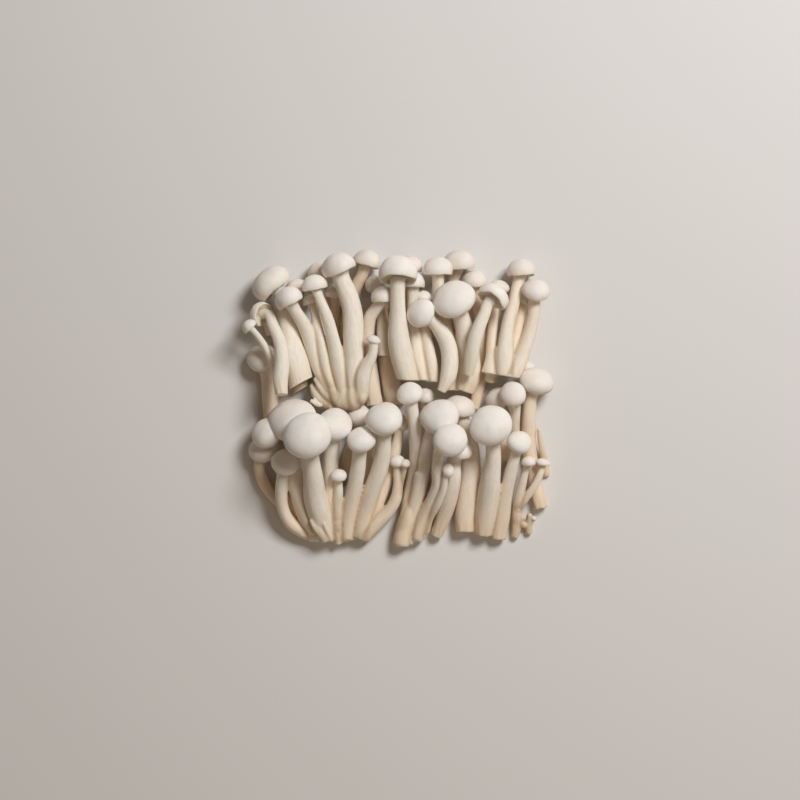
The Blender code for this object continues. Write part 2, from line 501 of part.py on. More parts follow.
def grow(name, mushrooms, material):
    """One solid from the mushrooms of a clump, by a single union on a collection of their skins."""
    scene = bpy.context.scene.collection
    pieces = [one_skin for one in mushrooms for one_skin in skins(one)]
    body = add_skin(name, *pieces[0], scene)
    others = bpy.data.collections.new(name + "_skins")
    scene.children.link(others)
    for number, piece in enumerate(pieces[1:]):
        add_skin(f"{name}_skin_{number}", *piece, others)
    union = body.modifiers.new("union", "BOOLEAN")
    union.operation = "UNION"
    union.operand_type = "COLLECTION"
    union.collection = others
    union.solver = "EXACT"
    fused = bpy.data.meshes.new_from_object(body.evaluated_get(bpy.context.evaluated_depsgraph_get()))
    body.modifiers.clear()
    body.data = fused
    fused.name = name
    fused.materials.clear()
    fused.materials.append(material)
    for piece in list(others.objects):
        bpy.data.objects.remove(piece)
    bpy.data.collections.remove(others)
    return body


def main():
    clear_scene()
    flesh = flesh_material("pale_flesh", FLESH_COLOUR, FLESH_ROUGHNESS)
    for name, mushrooms in BUNCH.items():
        body = grow(name, mushrooms, flesh)
        print(name, len(body.data.vertices), len(body.data.polygons))


main()
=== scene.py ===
# %% [markdown]
# A bunch of white shimeji mushrooms
#
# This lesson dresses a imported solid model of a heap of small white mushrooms. Some still hold
# together at their cut bases and some lie loose. Each plain, faceted solid gives way to a finer mesh
# on the same curve, with real gills, fibres along the stems, torn and cut bases, and flesh that lets
# a little light through.

import math
from dataclasses import dataclass

import bpy
import numpy as np
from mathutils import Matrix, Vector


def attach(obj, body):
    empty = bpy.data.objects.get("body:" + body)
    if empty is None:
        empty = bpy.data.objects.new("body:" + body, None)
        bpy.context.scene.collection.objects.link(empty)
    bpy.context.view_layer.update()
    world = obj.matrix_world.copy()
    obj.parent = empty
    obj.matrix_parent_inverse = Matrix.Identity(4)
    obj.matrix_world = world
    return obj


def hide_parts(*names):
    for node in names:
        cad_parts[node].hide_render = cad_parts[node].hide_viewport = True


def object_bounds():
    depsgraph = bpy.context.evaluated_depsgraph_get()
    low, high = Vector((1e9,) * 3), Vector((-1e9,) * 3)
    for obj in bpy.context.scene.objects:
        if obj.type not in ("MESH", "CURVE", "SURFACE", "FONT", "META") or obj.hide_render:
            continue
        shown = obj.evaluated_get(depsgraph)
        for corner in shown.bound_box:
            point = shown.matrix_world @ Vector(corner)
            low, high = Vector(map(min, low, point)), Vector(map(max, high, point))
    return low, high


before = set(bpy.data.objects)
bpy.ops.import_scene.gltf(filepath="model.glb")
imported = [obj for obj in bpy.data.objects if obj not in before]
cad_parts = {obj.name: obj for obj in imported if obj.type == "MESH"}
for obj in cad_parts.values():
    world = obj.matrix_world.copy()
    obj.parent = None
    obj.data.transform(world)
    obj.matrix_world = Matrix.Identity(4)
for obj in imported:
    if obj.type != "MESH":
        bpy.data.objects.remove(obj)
cad_box = [list(corner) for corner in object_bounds()]
print("nodes:", len(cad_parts))
print("size in mm:", [round(1000 * (high - low), 1) for low, high in zip(*cad_box)])

# %% [markdown]
# The camera
#
# The bunch is seen from straight above. A long lens keeps the upright lines of the near row from
# leaning outwards, as they would close to a short lens. The picture is square, so the width that
# it takes in and the distance give the focal length.

# %% Camera straight above the heap
PICTURE_WIDTH = 0.328
HALF_HEAP_HEIGHT = 0.015
CAMERA_ABOVE = 1.2
VIEW_CENTRE = (0.0007, -0.0005)
SEES_AS_FAR_AS = 10.0


def add_object(name, data):
    """A new object in the scene."""
    thing = bpy.data.objects.new(name, data)
    bpy.context.scene.collection.objects.link(thing)
    return thing


def add_camera():
    lens = bpy.data.cameras.new("overhead_camera")
    lens.lens = lens.sensor_width * CAMERA_ABOVE / PICTURE_WIDTH
    lens.clip_end = SEES_AS_FAR_AS
    camera = add_object("overhead_camera", lens)
    camera.location = (*VIEW_CENTRE, CAMERA_ABOVE + HALF_HEAP_HEIGHT)
    bpy.context.scene.camera = camera
    print("focal length in mm:", round(lens.lens, 1))


add_camera()

# %% [markdown]
# Light and floor
#
# White flesh shows its form only through soft shade. One broad white light stands high over the far
# right corner of the heap, so the near left flanks of stems and caps turn away from it. A larger,
# weaker and warmer one fills from the near side, and a dim, warm world keeps the deepest gaps open.
# White light on top and warm light in the shade is what makes the flesh look damp and pale at once.
# The floor is one pale sheet, which also throws light back under the caps.

# %% Soft light over a pale floor
KEY_SIZE = 0.36
KEY_POWER = 8.7
KEY_PLACE = (0.46, 0.53, 0.84)
KEY_TINT = (1.0, 1.0, 1.0)
FILL_SIZE = 1.2
FILL_POWER = 1.7
FILL_PLACE = (0.3, -0.75, 0.8)
FILL_TINT = (1.0, 0.87, 0.74)
WORLD_WHITE = (1.0, 0.75, 0.53)
WORLD_STRENGTH = 0.11
FLOOR_SIDE = 3.0
FLOOR_COLOUR = (0.80, 0.79, 0.772)
FLOOR_ROUGHNESS = 0.85


def add_soft_light(name, place, size, power, colour):
    """A square light that faces the middle of the heap."""
    light = bpy.data.lights.new(name, "AREA")
    light.shape = "SQUARE"
    light.size = size
    light.energy = power
    light.color = colour
    lamp = add_object(name, light)
    lamp.location = place
    way = lamp.location.copy()
    way.negate()
    lamp.rotation_euler = way.to_track_quat("-Z", "Y").to_euler()


def add_floor():
    half = FLOOR_SIDE / 2.0
    mesh = bpy.data.meshes.new("pale_floor")
    mesh.from_pydata([(-half, -half, 0), (half, -half, 0), (half, half, 0), (-half, half, 0)], [],
                     [(0, 1, 2, 3)])
    paint = bpy.data.materials.new("pale_floor")
    paint.use_nodes = True
    shader = paint.node_tree.nodes["Principled BSDF"]
    shader.inputs["Base Color"].default_value = (*FLOOR_COLOUR, 1.0)
    shader.inputs["Roughness"].default_value = FLOOR_ROUGHNESS
    mesh.materials.append(paint)
    add_object("pale_floor", mesh)


def set_world():
    world = bpy.data.worlds.new("pale_world")
    world.use_nodes = True
    sky = world.node_tree.nodes["Background"]
    sky.inputs["Color"].default_value = (*WORLD_WHITE, 1.0)
    sky.inputs["Strength"].default_value = WORLD_STRENGTH
    bpy.context.scene.world = world


add_soft_light("key_light", KEY_PLACE, KEY_SIZE, KEY_POWER, KEY_TINT)
add_soft_light("fill_light", FILL_PLACE, FILL_SIZE, FILL_POWER, FILL_TINT)
add_floor()
set_world()
bpy.context.scene.view_settings.view_transform = "Standard"
print("key light at", KEY_PLACE, "over a floor of", FLOOR_SIDE, "m")

# %% [markdown]
# How a mushroom is written down
#
# A shimeji is a cap on a stem, and the two grew as one. The layout below gives each mushroom as the
# middle of its cap, the cap's radius, where the cap faces, and a few places along the stem with its
# thickness there. It could be modelled by hand instead, but these few numbers keep every stem on the
# same curve as in the solid model. All of them are in millimetres until a mesh is made.

# %% One mushroom, and how its axes are found
OPEN_RIM = 0.25
TUCKED_RIM = 0.36
LEVEL_SIDE = 0.05


@dataclass
class Mushroom:
    """One mushroom: the middle of its cap, the cap's radius, where the cap faces and its stem.

    faces is a heading on the table, anticlockwise from +X, and a rise above the table, in degrees.
    The stem runs from under the cap to the base, as rows of x, y, z and thickness. A mushroom with
    no cap is a blunt finger. height is the cap's, rim is the share of it below the widest ring, and
    wave is how far the rim waves. cut is a point and a heading of an upright knife cut at the base,
    and torn is how deep the base is torn.
    """

    cap: tuple
    radius: float
    faces: tuple
    stem: list
    height: float = 0.0
    rim: float = OPEN_RIM
    cut: tuple = ()
    round_base: bool = False
    torn: float = 0.0
    wave: float = 0.022


def button(cap, radius, faces, stem, **more):
    """A young mushroom: its cap is nearly a ball, with the rim tucked in."""
    return Mushroom(cap, radius, faces, stem, rim=TUCKED_RIM, **more)


def finger(stem, **more):
    """A blunt finger with no cap: a bud, or a scrap of the base."""
    return Mushroom((0, 0, 0), 0.0, (0, 0), stem, **more)


def lump(stem):
    """A finger whose base is round too."""
    return finger(stem, round_base=True)


def unit(vector):
    return vector / np.linalg.norm(vector, axis=-1, keepdims=True)


def facing(heading, rise):
    """Unit vector of a heading on the table and a rise above it, in degrees."""
    turn = math.radians(heading)
    lift = math.radians(rise)
    return np.array((math.cos(lift) * math.cos(turn), math.cos(lift) * math.sin(turn), math.sin(lift)))


def square_to(axis):
    """Two unit vectors square to an axis, the first level and the second on its upper side."""
    side = np.cross((0.0, 0.0, 1.0), axis)
    if np.linalg.norm(side) < LEVEL_SIDE:
        side = np.cross((0.0, 1.0, 0.0), axis)
    side = unit(side)
    return side, np.cross(axis, side)


def around(values, directions):
    """Ring points: a direction of its own for each point, scaled by its value."""
    return np.asarray(values)[..., None] * directions


print("a cap that faces 90 degrees and rises 45 looks along", facing(90, 45).round(2))

# %% [markdown]
# Surfaces in rings
#
# Caps and stems are both closed skins made of rings: from the middle of the gills out over the rim
# to the top of a cap, and from the base to the seat in the cap for a stem. Turning a profile with a
# Screw modifier would do for a perfect cap. Rings written out point by point can also be lobed,
# wavy and pleated, and each point can carry what its finish needs to know. grain is a place in the
# pattern of fibres, and tone is how near a point is to the rim or to the base, or on the gills
# whether it lies on a ridge or in a valley, where the finish paints shade. FIT keeps every ring
# a little inside its nominal size, so that swellings don't stand out of the solids.

# %% Rings joined into a closed skin
SKIN, STEM_FLESH, GILL, CUT_FLESH = range(4)


@dataclass
class Surface:
    """Points, faces of up to four points, the finish of each face, and two values for each point."""

    points: np.ndarray
    faces: list
    finish: list
    grain: np.ndarray
    tone: np.ndarray


def ring_skin(rings, finishes, grains, tones):
    """A closed skin from equal rings. The first and the last ring are closed on their middles."""
    count = len(rings[0])
    ends = [rings[0].mean(axis=0), rings[-1].mean(axis=0)]
    points = np.vstack([*rings, ends])
    grain = np.vstack([*grains, grains[0].mean(axis=0), grains[-1].mean(axis=0)])
    tone = np.concatenate([*tones, tones[0][:1], tones[-1][:1]])
    here = np.arange(count)
    after = (here + 1) % count
    first = len(points) - 2
    last = len(points) - 1
    faces = np.column_stack((np.full(count, first), after, here)).tolist()
    finish = [finishes[0]] * count
    for row in range(len(rings) - 1):
        low = row * count
        high = low + count
        faces += np.column_stack((low + here, low + after, high + after, high + here)).tolist()
        finish += [finishes[row]] * count
    end = (len(rings) - 1) * count
    faces += np.column_stack((end + here, end + after, np.full(count, last))).tolist()
    finish += [finishes[-1]] * count
    return Surface(points, faces, finish, grain, tone)


def joined(surfaces):
    """Several surfaces as one."""
    faces = []
    start = 0
    for surface in surfaces:
        faces += [[start + point for point in face] for face in surface.faces]
        start += len(surface.points)
    return Surface(np.vstack([s.points for s in surfaces]), faces, [f for s in surfaces for f in s.finish],
                   np.vstack([s.grain for s in surfaces]), np.concatenate([s.tone for s in surfaces]))


print("finishes:", "cap skin, stem flesh, gills, cut flesh")

# %% [markdown]
# The cap
#
# A young white cap is a ball with its rim tucked in, and an older one opens to a dome with a thin
# rim. Under it, crowded gills run from the rim to the stem. The dome is an ellipse whose widest
# ring lies a little above the rim. The gills are real pleats: every other point of the rings below
# the rim stands up. A bump map could fake them, but the open caps show them edge-on, where only
# geometry holds up.

# %% Dome, rim and gills
CAP_HEIGHT = 1.05
RIM_BELOW_MIDDLE = 0.45
LOBES = 0.03
SMALL_LOBES = 0.015
LOBE_TURN = (0.7, 1.3)
RIM_WAVES = ((2, 1.0), (3, 0.6), (7, 0.35))
DOME_STEPS = 20
DOME_ENDS = (0.06, 0.07)
FIT = 0.985
GILL_PITCH = 0.75
FEWEST_GILLS = 18
GILL_DEPTH = 0.055
GILL_FADE = 1.35
GILL_RINGS = ((0.16, 0.10), (0.34, 0.115), (0.5, 0.115), (0.64, 0.105), (0.76, 0.085), (0.86, 0.065))
LIP = ((0.915, 0.05), (0.935, 0.018), (0.965, 0.0), (0.99, 0.004))
DENT = 0.012
DENT_FADE = 1.6
BROAD_DENTS = (2.0, 3.0, 2.6)
SMALL_DENTS = (5.0, -4.0, 0.5)
RADIAL_GRAIN = 0.25
PATTERN_SPREAD = 5.0


def cap_height(one):
    return one.height or CAP_HEIGHT * one.radius


def rim_centre(one):
    return np.array(one.cap) - RIM_BELOW_MIDDLE * cap_height(one) * facing(*one.faces)


def dents(turn, lift, sway):
    """Shallow dents of a dome at one height: a broad swell that leans, and a finer ripple."""
    count, lean, climb = BROAD_DENTS
    broad = np.sin(count * turn + sway[0] + lean * lift) * np.sin(climb * lift + sway[1])
    count, lean, share = SMALL_DENTS
    return broad + share * np.sin(count * turn + sway[2] + lean * lift)


def cap_surface(one, luck):
    """The closed skin of a cap: pleated gills, a thin lip and a dome that is nowhere quite round."""
    axis = facing(*one.faces)
    side, up = square_to(axis)
    height = cap_height(one)
    gills = max(FEWEST_GILLS, round(math.tau * one.radius / GILL_PITCH))
    turn = math.pi * np.arange(2 * gills) / gills
    ridge = 1.0 - 2.0 * (np.arange(2 * gills) % 2)
    phase = LOBE_TURN[0] * one.cap[0] + LOBE_TURN[1] * one.cap[1]
    lobes = LOBES * np.sin(2.0 * turn + phase) + SMALL_LOBES * np.sin(3.0 * turn - phase)
    reach = FIT * one.radius * (1.0 + lobes)
    outward = np.cos(turn)[:, None] * side + np.sin(turn)[:, None] * up
    sway = luck.uniform(0.0, math.tau, 6)
    wave = one.wave * sum(share * np.sin(count * turn + start)
                          for (count, share), start in zip(RIM_WAVES, sway))
    lowest = math.asin(one.rim / (1.0 - one.rim))
    rim_width = math.cos(lowest)
    rows = [(rim_width * out, lift, 1.0, GILL) for out, lift in GILL_RINGS]
    rows += [(rim_width * out, lift, 0.0, SKIN) for out, lift in LIP]
    for angle in np.linspace(-lowest + DOME_ENDS[0], 0.5 * math.pi - DOME_ENDS[1], DOME_STEPS):
        rows.append((math.cos(angle), one.rim + (1.0 - one.rim) * math.sin(angle), 0.0, SKIN))
    rings, finishes, grains, tones = [], [], [], []
    for out, lift, pleat, finish in rows:
        near_rim = max(0.0, 1.0 - max(0.0, lift)) ** 2
        dented = DENT * min(1.0, DENT_FADE * out) ** 2 * dents(turn, lift, sway[3:])
        fade = pleat * min(1.0, GILL_FADE - out / rim_width)
        level = lift * (1.0 + dented) + wave * near_rim + GILL_DEPTH * fade * ridge
        ring = around(out * reach * (1.0 + dented * (1.0 - pleat)), outward) + around(height * level, axis)
        rings.append(rim_centre(one) + ring)
        finishes.append(finish)
        place_in_pattern = np.full(len(turn), RADIAL_GRAIN * out + PATTERN_SPREAD * sway[0])
        grains.append(np.column_stack((np.cos(turn), np.sin(turn), place_in_pattern)))
        # On the gills tone is 1 on a ridge and 0 in a valley, where the gill finish paints shade.
        tones.append(0.5 + 0.5 * ridge if pleat else np.full(len(turn), near_rim))
    return ring_skin(rings, finishes, grains, tones)


trial_cap = Mushroom((0, 0, 10), 7.0, (90, 20), [])
print("a cap of 7 mm radius has", len(cap_surface(trial_cap, np.random.default_rng(1)).faces), "faces")

# %% [markdown]
# The stem
#
# A stem is a tapering, curving rod of lengthwise fibres. Its middle line is a smooth curve through
# the few places in the layout, and a frame is carried along it without twisting, so the fibres run
# straight. A curve object with a bevel would give a perfect pipe. These rings swell and flatten a
# little instead, as stems do that grew pressed against each other. At the base a stem is torn off
# with frayed strands, sliced by a knife, or rounded.

# %% A smooth course with a frame that doesn't twist
SEAT_UP = 0.28
SEAT_FLARE = 1.12
STEM_STEP = 0.85
FEWEST_STEM_ROWS = 10


@dataclass
class Course:
    """The middle line of a stem from the base up: places, frames, half thickness and way from the base."""

    place: np.ndarray
    way: np.ndarray
    side: np.ndarray
    up: np.ndarray
    half: np.ndarray
    along: np.ndarray


def smooth_rows(rows, count, last_slope=None):
    """Even rows along a smooth curve through given rows, whose first three values are a place."""
    rows = np.array(rows, float)
    steps = np.linalg.norm(np.diff(rows[:, :3], axis=0), axis=1)
    at = np.concatenate(([0.0], np.cumsum(steps)))
    slopes = np.gradient(rows, at, axis=0)
    if last_slope is not None:
        slopes[-1, :3] = last_slope
    want = np.linspace(0.0, at[-1], count)
    part = np.clip(np.searchsorted(at, want, side="right") - 1, 0, len(at) - 2)
    span = (at[part + 1] - at[part])[:, None]
    t = ((want - at[part])[:, None]) / span
    start = (2 * t**3 - 3 * t**2 + 1) * rows[part] + (t**3 - 2 * t**2 + t) * span * slopes[part]
    end = (3 * t**2 - 2 * t**3) * rows[part + 1] + (t**3 - t**2) * span * slopes[part + 1]
    return start + end, want


def stem_course(one):
    rows = [tuple(row) for row in reversed(one.stem)]
    last_slope = None
    if one.radius:
        axis = facing(*one.faces)
        seat = rim_centre(one) + SEAT_UP * cap_height(one) * axis
        last_slope = unit(axis + unit(seat - np.array(rows[-1][:3])))
        rows.append((*seat, SEAT_FLARE * rows[-1][3]))
    length = sum(math.dist(a[:3], b[:3]) for a, b in zip(rows, rows[1:]))
    rows, along = smooth_rows(rows, max(FEWEST_STEM_ROWS, round(length / STEM_STEP)), last_slope)
    way = unit(np.gradient(rows[:, :3], axis=0))
    side = np.empty_like(way)
    side[0] = square_to(way[0])[0]
    for k in range(1, len(way)):
        side[k] = unit(side[k - 1] - way[k] * side[k - 1].dot(way[k]))
    return Course(rows[:, :3], way, side, np.cross(way, side), 0.5 * rows[:, 3], along)


trial_stem = Mushroom((0, 40, 10), 7.0, (90, 20), [(0, 34, 9, 6), (1, 20, 6, 7), (0, 0, 4, 6)])
print("a course of", len(stem_course(trial_stem).place), "rows")

# %% Rings that swell, flatten and end torn, cut or round
STEM_AROUND = 40
STEM_RELIEF = ((2, 0.05, 0.028), (3, -0.04, 0.018), (7, 0.22, 0.006))
SWELL_LENGTH = 19.0
SWELL_DEPTH = 0.018
CUT_REACH = 9.0
BASE_RINGS = (0.1, 0.45, 0.75, 0.93)
TIP_OUT = 0.6
TIP_ANGLES = (1.3, 1.0, 0.65, 0.3)
BASE_SHADE = 16.0
LENGTHWISE_GRAIN = 0.07
FRAY = (7, 0.25, 0.05, 9.0)
TEETH = (1.5, 4.0)
SMALL_TEETH = 0.45
ROUGH_CUT = (3.0, 9.0)
TABLE_TOP = 0.02


def jagged(turn, sway):
    """A torn edge: 0 to 1 around the stem, in uneven teeth."""
    teeth, small = (np.abs((count * turn / math.pi + start) % 2.0 - 1.0) for count, start in zip(TEETH, sway))
    return teeth * (1.0 - SMALL_TEETH + SMALL_TEETH * small)


def most_shade(courses):
    """The darkest that a foot gets: short scraps stay pale, because they broke off higher up."""
    return min(1.0, max(course.along[-1] for course in courses) / BASE_SHADE)


def stem_surface(one, luck):
    """The closed skin of a stem on its course."""
    course = stem_course(one)
    turn = math.tau * np.arange(STEM_AROUND) / STEM_AROUND
    sway = luck.uniform(0.0, math.tau, 8)
    shift = one.torn * jagged(turn, sway)
    if one.cut:
        face = facing(one.cut[2], 0.0)
        edge = course.place[0] + course.half[0] * (around(np.cos(turn), course.side[0])
                                                    + around(np.sin(turn), course.up[0]))
        on_cut = np.array((*one.cut[:2], 0.0))
        shift = ((on_cut - edge) @ face) / course.way[0].dot(face)
    rings, finishes, grains, tones = [], [], [], []

    def add_ring(k, width, out, finish):
        """A ring at row k of the course, so wide, moved out along it at each point."""
        along = course.along[k]
        bulge = 1.0 + SWELL_DEPTH * math.sin(math.tau * along / SWELL_LENGTH + sway[2])
        for number, (lobes, twist, depth) in enumerate(STEM_RELIEF):
            bulge = bulge + depth * np.sin(lobes * turn + twist * along + sway[3 + number])
        if one.torn:
            strands, twist, depth, length = FRAY
            near_base = max(0.0, 1.0 - along / length) ** 1.5
            bulge = bulge + depth * near_base * np.sin(strands * turn + twist * along + sway[7])
        reach = FIT * course.half[k] * width * bulge
        ring = around(reach * np.cos(turn), course.side[k]) + around(reach * np.sin(turn), course.up[k])
        rings.append(course.place[k] + ring + around(out, course.way[k]))
        finishes.append(finish)
        place_in_pattern = np.full(STEM_AROUND, LENGTHWISE_GRAIN * along + PATTERN_SPREAD * sway[6])
        grains.append(np.column_stack((np.cos(turn) * width, np.sin(turn) * width, place_in_pattern)))
        tones.append(np.full(STEM_AROUND, max(0.0, 1.0 - along / BASE_SHADE) * most_shade([course])))

    def add_tip(k, length, angles):
        """A rounded end at row k."""
        for angle in angles:
            out = length * course.half[k] * math.sin(angle)
            add_ring(k, math.cos(angle), np.full(STEM_AROUND, out), STEM_FLESH)

    if one.round_base or not one.cut and not one.torn and not one.radius:
        add_tip(0, -TIP_OUT, TIP_ANGLES)
    else:
        for width in BASE_RINGS:
            rough = one.torn * jagged(ROUGH_CUT[0] * turn + ROUGH_CUT[1] * width, sway) * (1.0 - width)
            add_ring(0, width, shift * width + rough + (1.0 - width) * shift.mean(), CUT_FLESH)
    for k, along in enumerate(course.along):
        add_ring(k, 1.0, shift * max(0.0, 1.0 - along / CUT_REACH) ** 2, STEM_FLESH)
    if not one.radius:
        add_tip(-1, TIP_OUT, reversed(TIP_ANGLES))
    surface = ring_skin(rings, finishes, grains, tones)
    surface.points[:, 2] = np.maximum(surface.points[:, 2], TABLE_TOP)
    return surface


print("its skin has", len(stem_surface(trial_stem, np.random.default_rng(1)).faces), "faces")

# %% [markdown]
# Where stems grow together
#
# At the foot of a clump the stems share one body of flesh: creases between them fill in and soften.
# A Boolean union would leave knife-sharp seams there. A voxel remesh melts all the stems of a clump
# into one even skin, and a few rounds of smoothing take its steps away. It also forgets what each
# point knew, so the nearest course tells each new point its place along and around its stem. Where
# two courses are equally near runs a crease: the skin is pressed in there, and its tone goes above
# 1, by which the finish knows where to paint shade into the crease.

# %% Melting the stems of a clump together
VOXEL = 0.41
OWN_VOXEL = {"clump_lower_left": 0.46, "clump_small_right": 0.26, "crumb": 0.12}
SMOOTHING = 5
CHUNK = 4000
SEAM_WIDTH = 1.5
CREASE_SHADE_TONE = 2.0
SEAM_DROP = 0.35
CUT_SKIN = 0.35


def melted(surface, voxel):
    """Points and faces of one skin around closed skins that overlap."""
    mesh = bpy.data.meshes.new("stems")
    mesh.from_pydata(surface.points.tolist(), [], surface.faces)
    stems = add_object("stems", mesh)
    remesh = stems.modifiers.new("melt", "REMESH")
    remesh.mode = "VOXEL"
    remesh.voxel_size = voxel
    smooth = stems.modifiers.new("soften", "SMOOTH")
    smooth.factor = 0.5
    smooth.iterations = SMOOTHING
    result = stems.evaluated_get(bpy.context.evaluated_depsgraph_get()).to_mesh()
    points = np.empty(3 * len(result.vertices))
    result.vertices.foreach_get("co", points)
    faces = [list(face.vertices) for face in result.polygons]
    bpy.data.objects.remove(stems)
    bpy.data.meshes.remove(mesh)
    points = points.reshape(-1, 3)
    points[:, 2] = np.maximum(points[:, 2], TABLE_TOP)
    return points, faces


def nearest_rows(points, course):
    """The row of a course that each point is nearest to, and the gap between the point and its skin."""
    rows, gaps = [], []
    for start in range(0, len(points), CHUNK):
        here = points[start:start + CHUNK, None] - course.place[None]
        gap = np.linalg.norm(here, axis=2) - course.half
        rows.append(gap.argmin(axis=1))
        gaps.append(gap.min(axis=1))
    return np.concatenate(rows), np.concatenate(gaps)


def seams(gaps):
    """1 in the crease between two stems that grew together, and 0 away from it."""
    if len(gaps) < 2:
        return np.zeros(gaps.shape[1])
    first, second = np.sort(gaps, axis=0)[:2]
    return np.clip(1.0 - (second - first) / SEAM_WIDTH, 0.0, 1.0)


def fused_stems(group, surfaces, voxel):
    """The stems of a clump as one skin, with grain and tone taken from the course nearest to a point."""
    points, faces = melted(joined(surfaces), voxel)
    courses = [stem_course(one) for one in group]
    rows, gaps = map(np.array, zip(*(nearest_rows(points, course) for course in courses)))
    stem = gaps.argmin(axis=0)
    first_rows = np.cumsum([0] + [len(course.place) for course in courses[:-1]])
    row = first_rows[stem] + rows[stem, np.arange(len(points))]
    place, way, side, up, half, along = (np.concatenate([getattr(course, value) for course in courses])
                                         for value in ("place", "way", "side", "up", "half", "along"))
    from_middle = points - place[row]
    turned = np.column_stack([(from_middle * side[row]).sum(1), (from_middle * up[row]).sum(1)])
    forward = (from_middle * way[row]).sum(1)
    passed = along[row] + forward
    grain = np.column_stack([turned / half[row][:, None],
                             LENGTHWISE_GRAIN * passed + PATTERN_SPREAD * stem])
    tone = np.clip(1.0 - passed / BASE_SHADE, 0.0, 1.0) * most_shade(courses)
    seam = seams(gaps[[one.radius > 0 for one in group]])
    # Creases get a tone above 1, which the stem finish turns into painted shade.
    tone += CREASE_SHADE_TONE * seam
    points[:, 2] = np.maximum(points[:, 2] - SEAM_DROP * seam, TABLE_TOP)
    on_base = passed < CUT_SKIN
    for number, one in enumerate(group):
        if one.cut:
            cut_off = (points - np.array((*one.cut[:2], 0.0))) @ facing(one.cut[2], 0.0)
            on_base |= (stem == number) & (cut_off > -CUT_SKIN)
        if one.round_base:
            on_base &= stem != number
    finish = [CUT_FLESH if on_base[face[0]] else STEM_FLESH for face in faces]
    return Surface(points, faces, finish, grain, tone)


print("voxels of", VOXEL, "mm, smoothed", SMOOTHING, "times")

# %% [markdown]
# Shader maths as plain expressions
#
# A finish is a tree of nodes. Placing and linking them by hand hides the idea behind bookkeeping.
# Here a Wire stands for one output of a node, and adding or multiplying wires adds the Math nodes.
# A Finish makes any other node from its type, its settings and what goes into its sockets. Colours
# are blended with Mix nodes, because Math nodes would turn them grey.

# %% Wires and finishes
def both_ways(operation):
    """An operator between a wire and a wire or number, and the same with its sides swapped."""
    def forward(wire, other):
        return wire.finish.node("Math", {"operation": operation}, {0: wire, 1: other})

    def swapped(wire, other):
        return wire.finish.node("Math", {"operation": operation}, {0: other, 1: wire})

    return forward, swapped


class Wire:
    """An output of a node. Sums and products of wires and numbers add Math nodes."""

    def __init__(self, finish, socket):
        self.finish = finish
        self.socket = socket

    __add__, __radd__ = both_ways("ADD")
    __sub__, __rsub__ = both_ways("SUBTRACT")
    __mul__, __rmul__ = both_ways("MULTIPLY")
    __pow__, __rpow__ = both_ways("POWER")


class Finish:
    """A material of the mushroom, made of nodes around one Principled shader."""

    def __init__(self, name):
        self.material = bpy.data.materials.new(name)
        self.material.use_nodes = True
        self.tree = self.material.node_tree
        self.shader = self.tree.nodes["Principled BSDF"]

    def feed(self, socket, value):
        if isinstance(value, Wire):
            self.tree.links.new(value.socket, socket)
        else:
            socket.default_value = value

    def node(self, kind, settings, sockets, output=0):
        """Any node: its settings are made first, then its sockets are given values or wires."""
        made = self.tree.nodes.new("ShaderNode" + kind)
        for setting, value in settings.items():
            setattr(made, setting, value)
        for socket, value in sockets.items():
            self.feed(made.inputs[socket], value)
        return Wire(self, made.outputs[output])

    def attribute(self, name, output):
        return self.node("Attribute", {"attribute_name": name}, {}, output)

    def noise(self, place, scale, detail=2.0, roughness=0.5):
        """Cloudy values from 0 to 1 over places."""
        return self.node("TexNoise", {}, {"Vector": place, "Scale": scale, "Detail": detail,
                                          "Roughness": roughness})

    def between(self, value, low, high):
        """0 at low, 1 at high, and held there beyond them."""
        return self.node("MapRange", {"clamp": True}, {"Value": value, "From Min": low, "From Max": high})

    def blend(self, part, first, second):
        """A colour on the way from the first to the second."""
        return self.node("Mix", {"data_type": "RGBA"}, {0: part, 6: first, 7: second}, 2)

    def shade(self, sockets):
        for socket, value in sockets.items():
            self.feed(self.shader.inputs[socket], value)

    def relief(self, strength, depth, height):
        """Bumps of a height too small for the mesh."""
        bump = self.node("Bump", {}, {"Strength": strength, "Distance": depth, "Height": height})
        self.shade({"Normal": bump})


print("a wire understands +, -, * and **")

# %% [markdown]
# White flesh
#
# The flesh of a shimeji is a mat of pale threads full of air and water. It is matt, and light goes a
# little way in and comes out warmer, which is why the gaps between stems glow cream instead of
# turning grey. Subsurface scattering gives that, with red going furthest. Four finishes share it:
# cap skin, stems with lengthwise fibres, gills with painted shade in their valleys, and cut flesh.
# Caps and stems that lie low in the heap also get painted shade, darker towards the table. Noise is
# written as its scale, detail and roughness, and a relief as its strength and depth in metres.

# %% Colours and depths that the finishes share
CAP_WHITE = (0.978, 0.932, 0.885, 1.0)
CAP_BLUSH = (0.930, 0.838, 0.765, 1.0)
CAP_RIM = (0.890, 0.815, 0.690, 1.0)
STEM_CREAM = (0.950, 0.890, 0.800, 1.0)
STEM_THREAD = (0.893, 0.806, 0.682, 1.0)
STEM_FOOT = (0.880, 0.785, 0.635, 1.0)
GILL_EDGE = (0.870, 0.800, 0.660, 1.0)
# Painted shade for the valleys between the gills.
PAINTED_GILL_SHADE = (0.700, 0.590, 0.420, 1.0)
CUT_PALE = (0.880, 0.815, 0.690, 1.0)
CUT_RING = (0.790, 0.690, 0.510, 1.0)
# Painted shade in the creases between stems that grew together.
PAINTED_CREASE_SHADE = (0.640, 0.500, 0.350, 1.0)
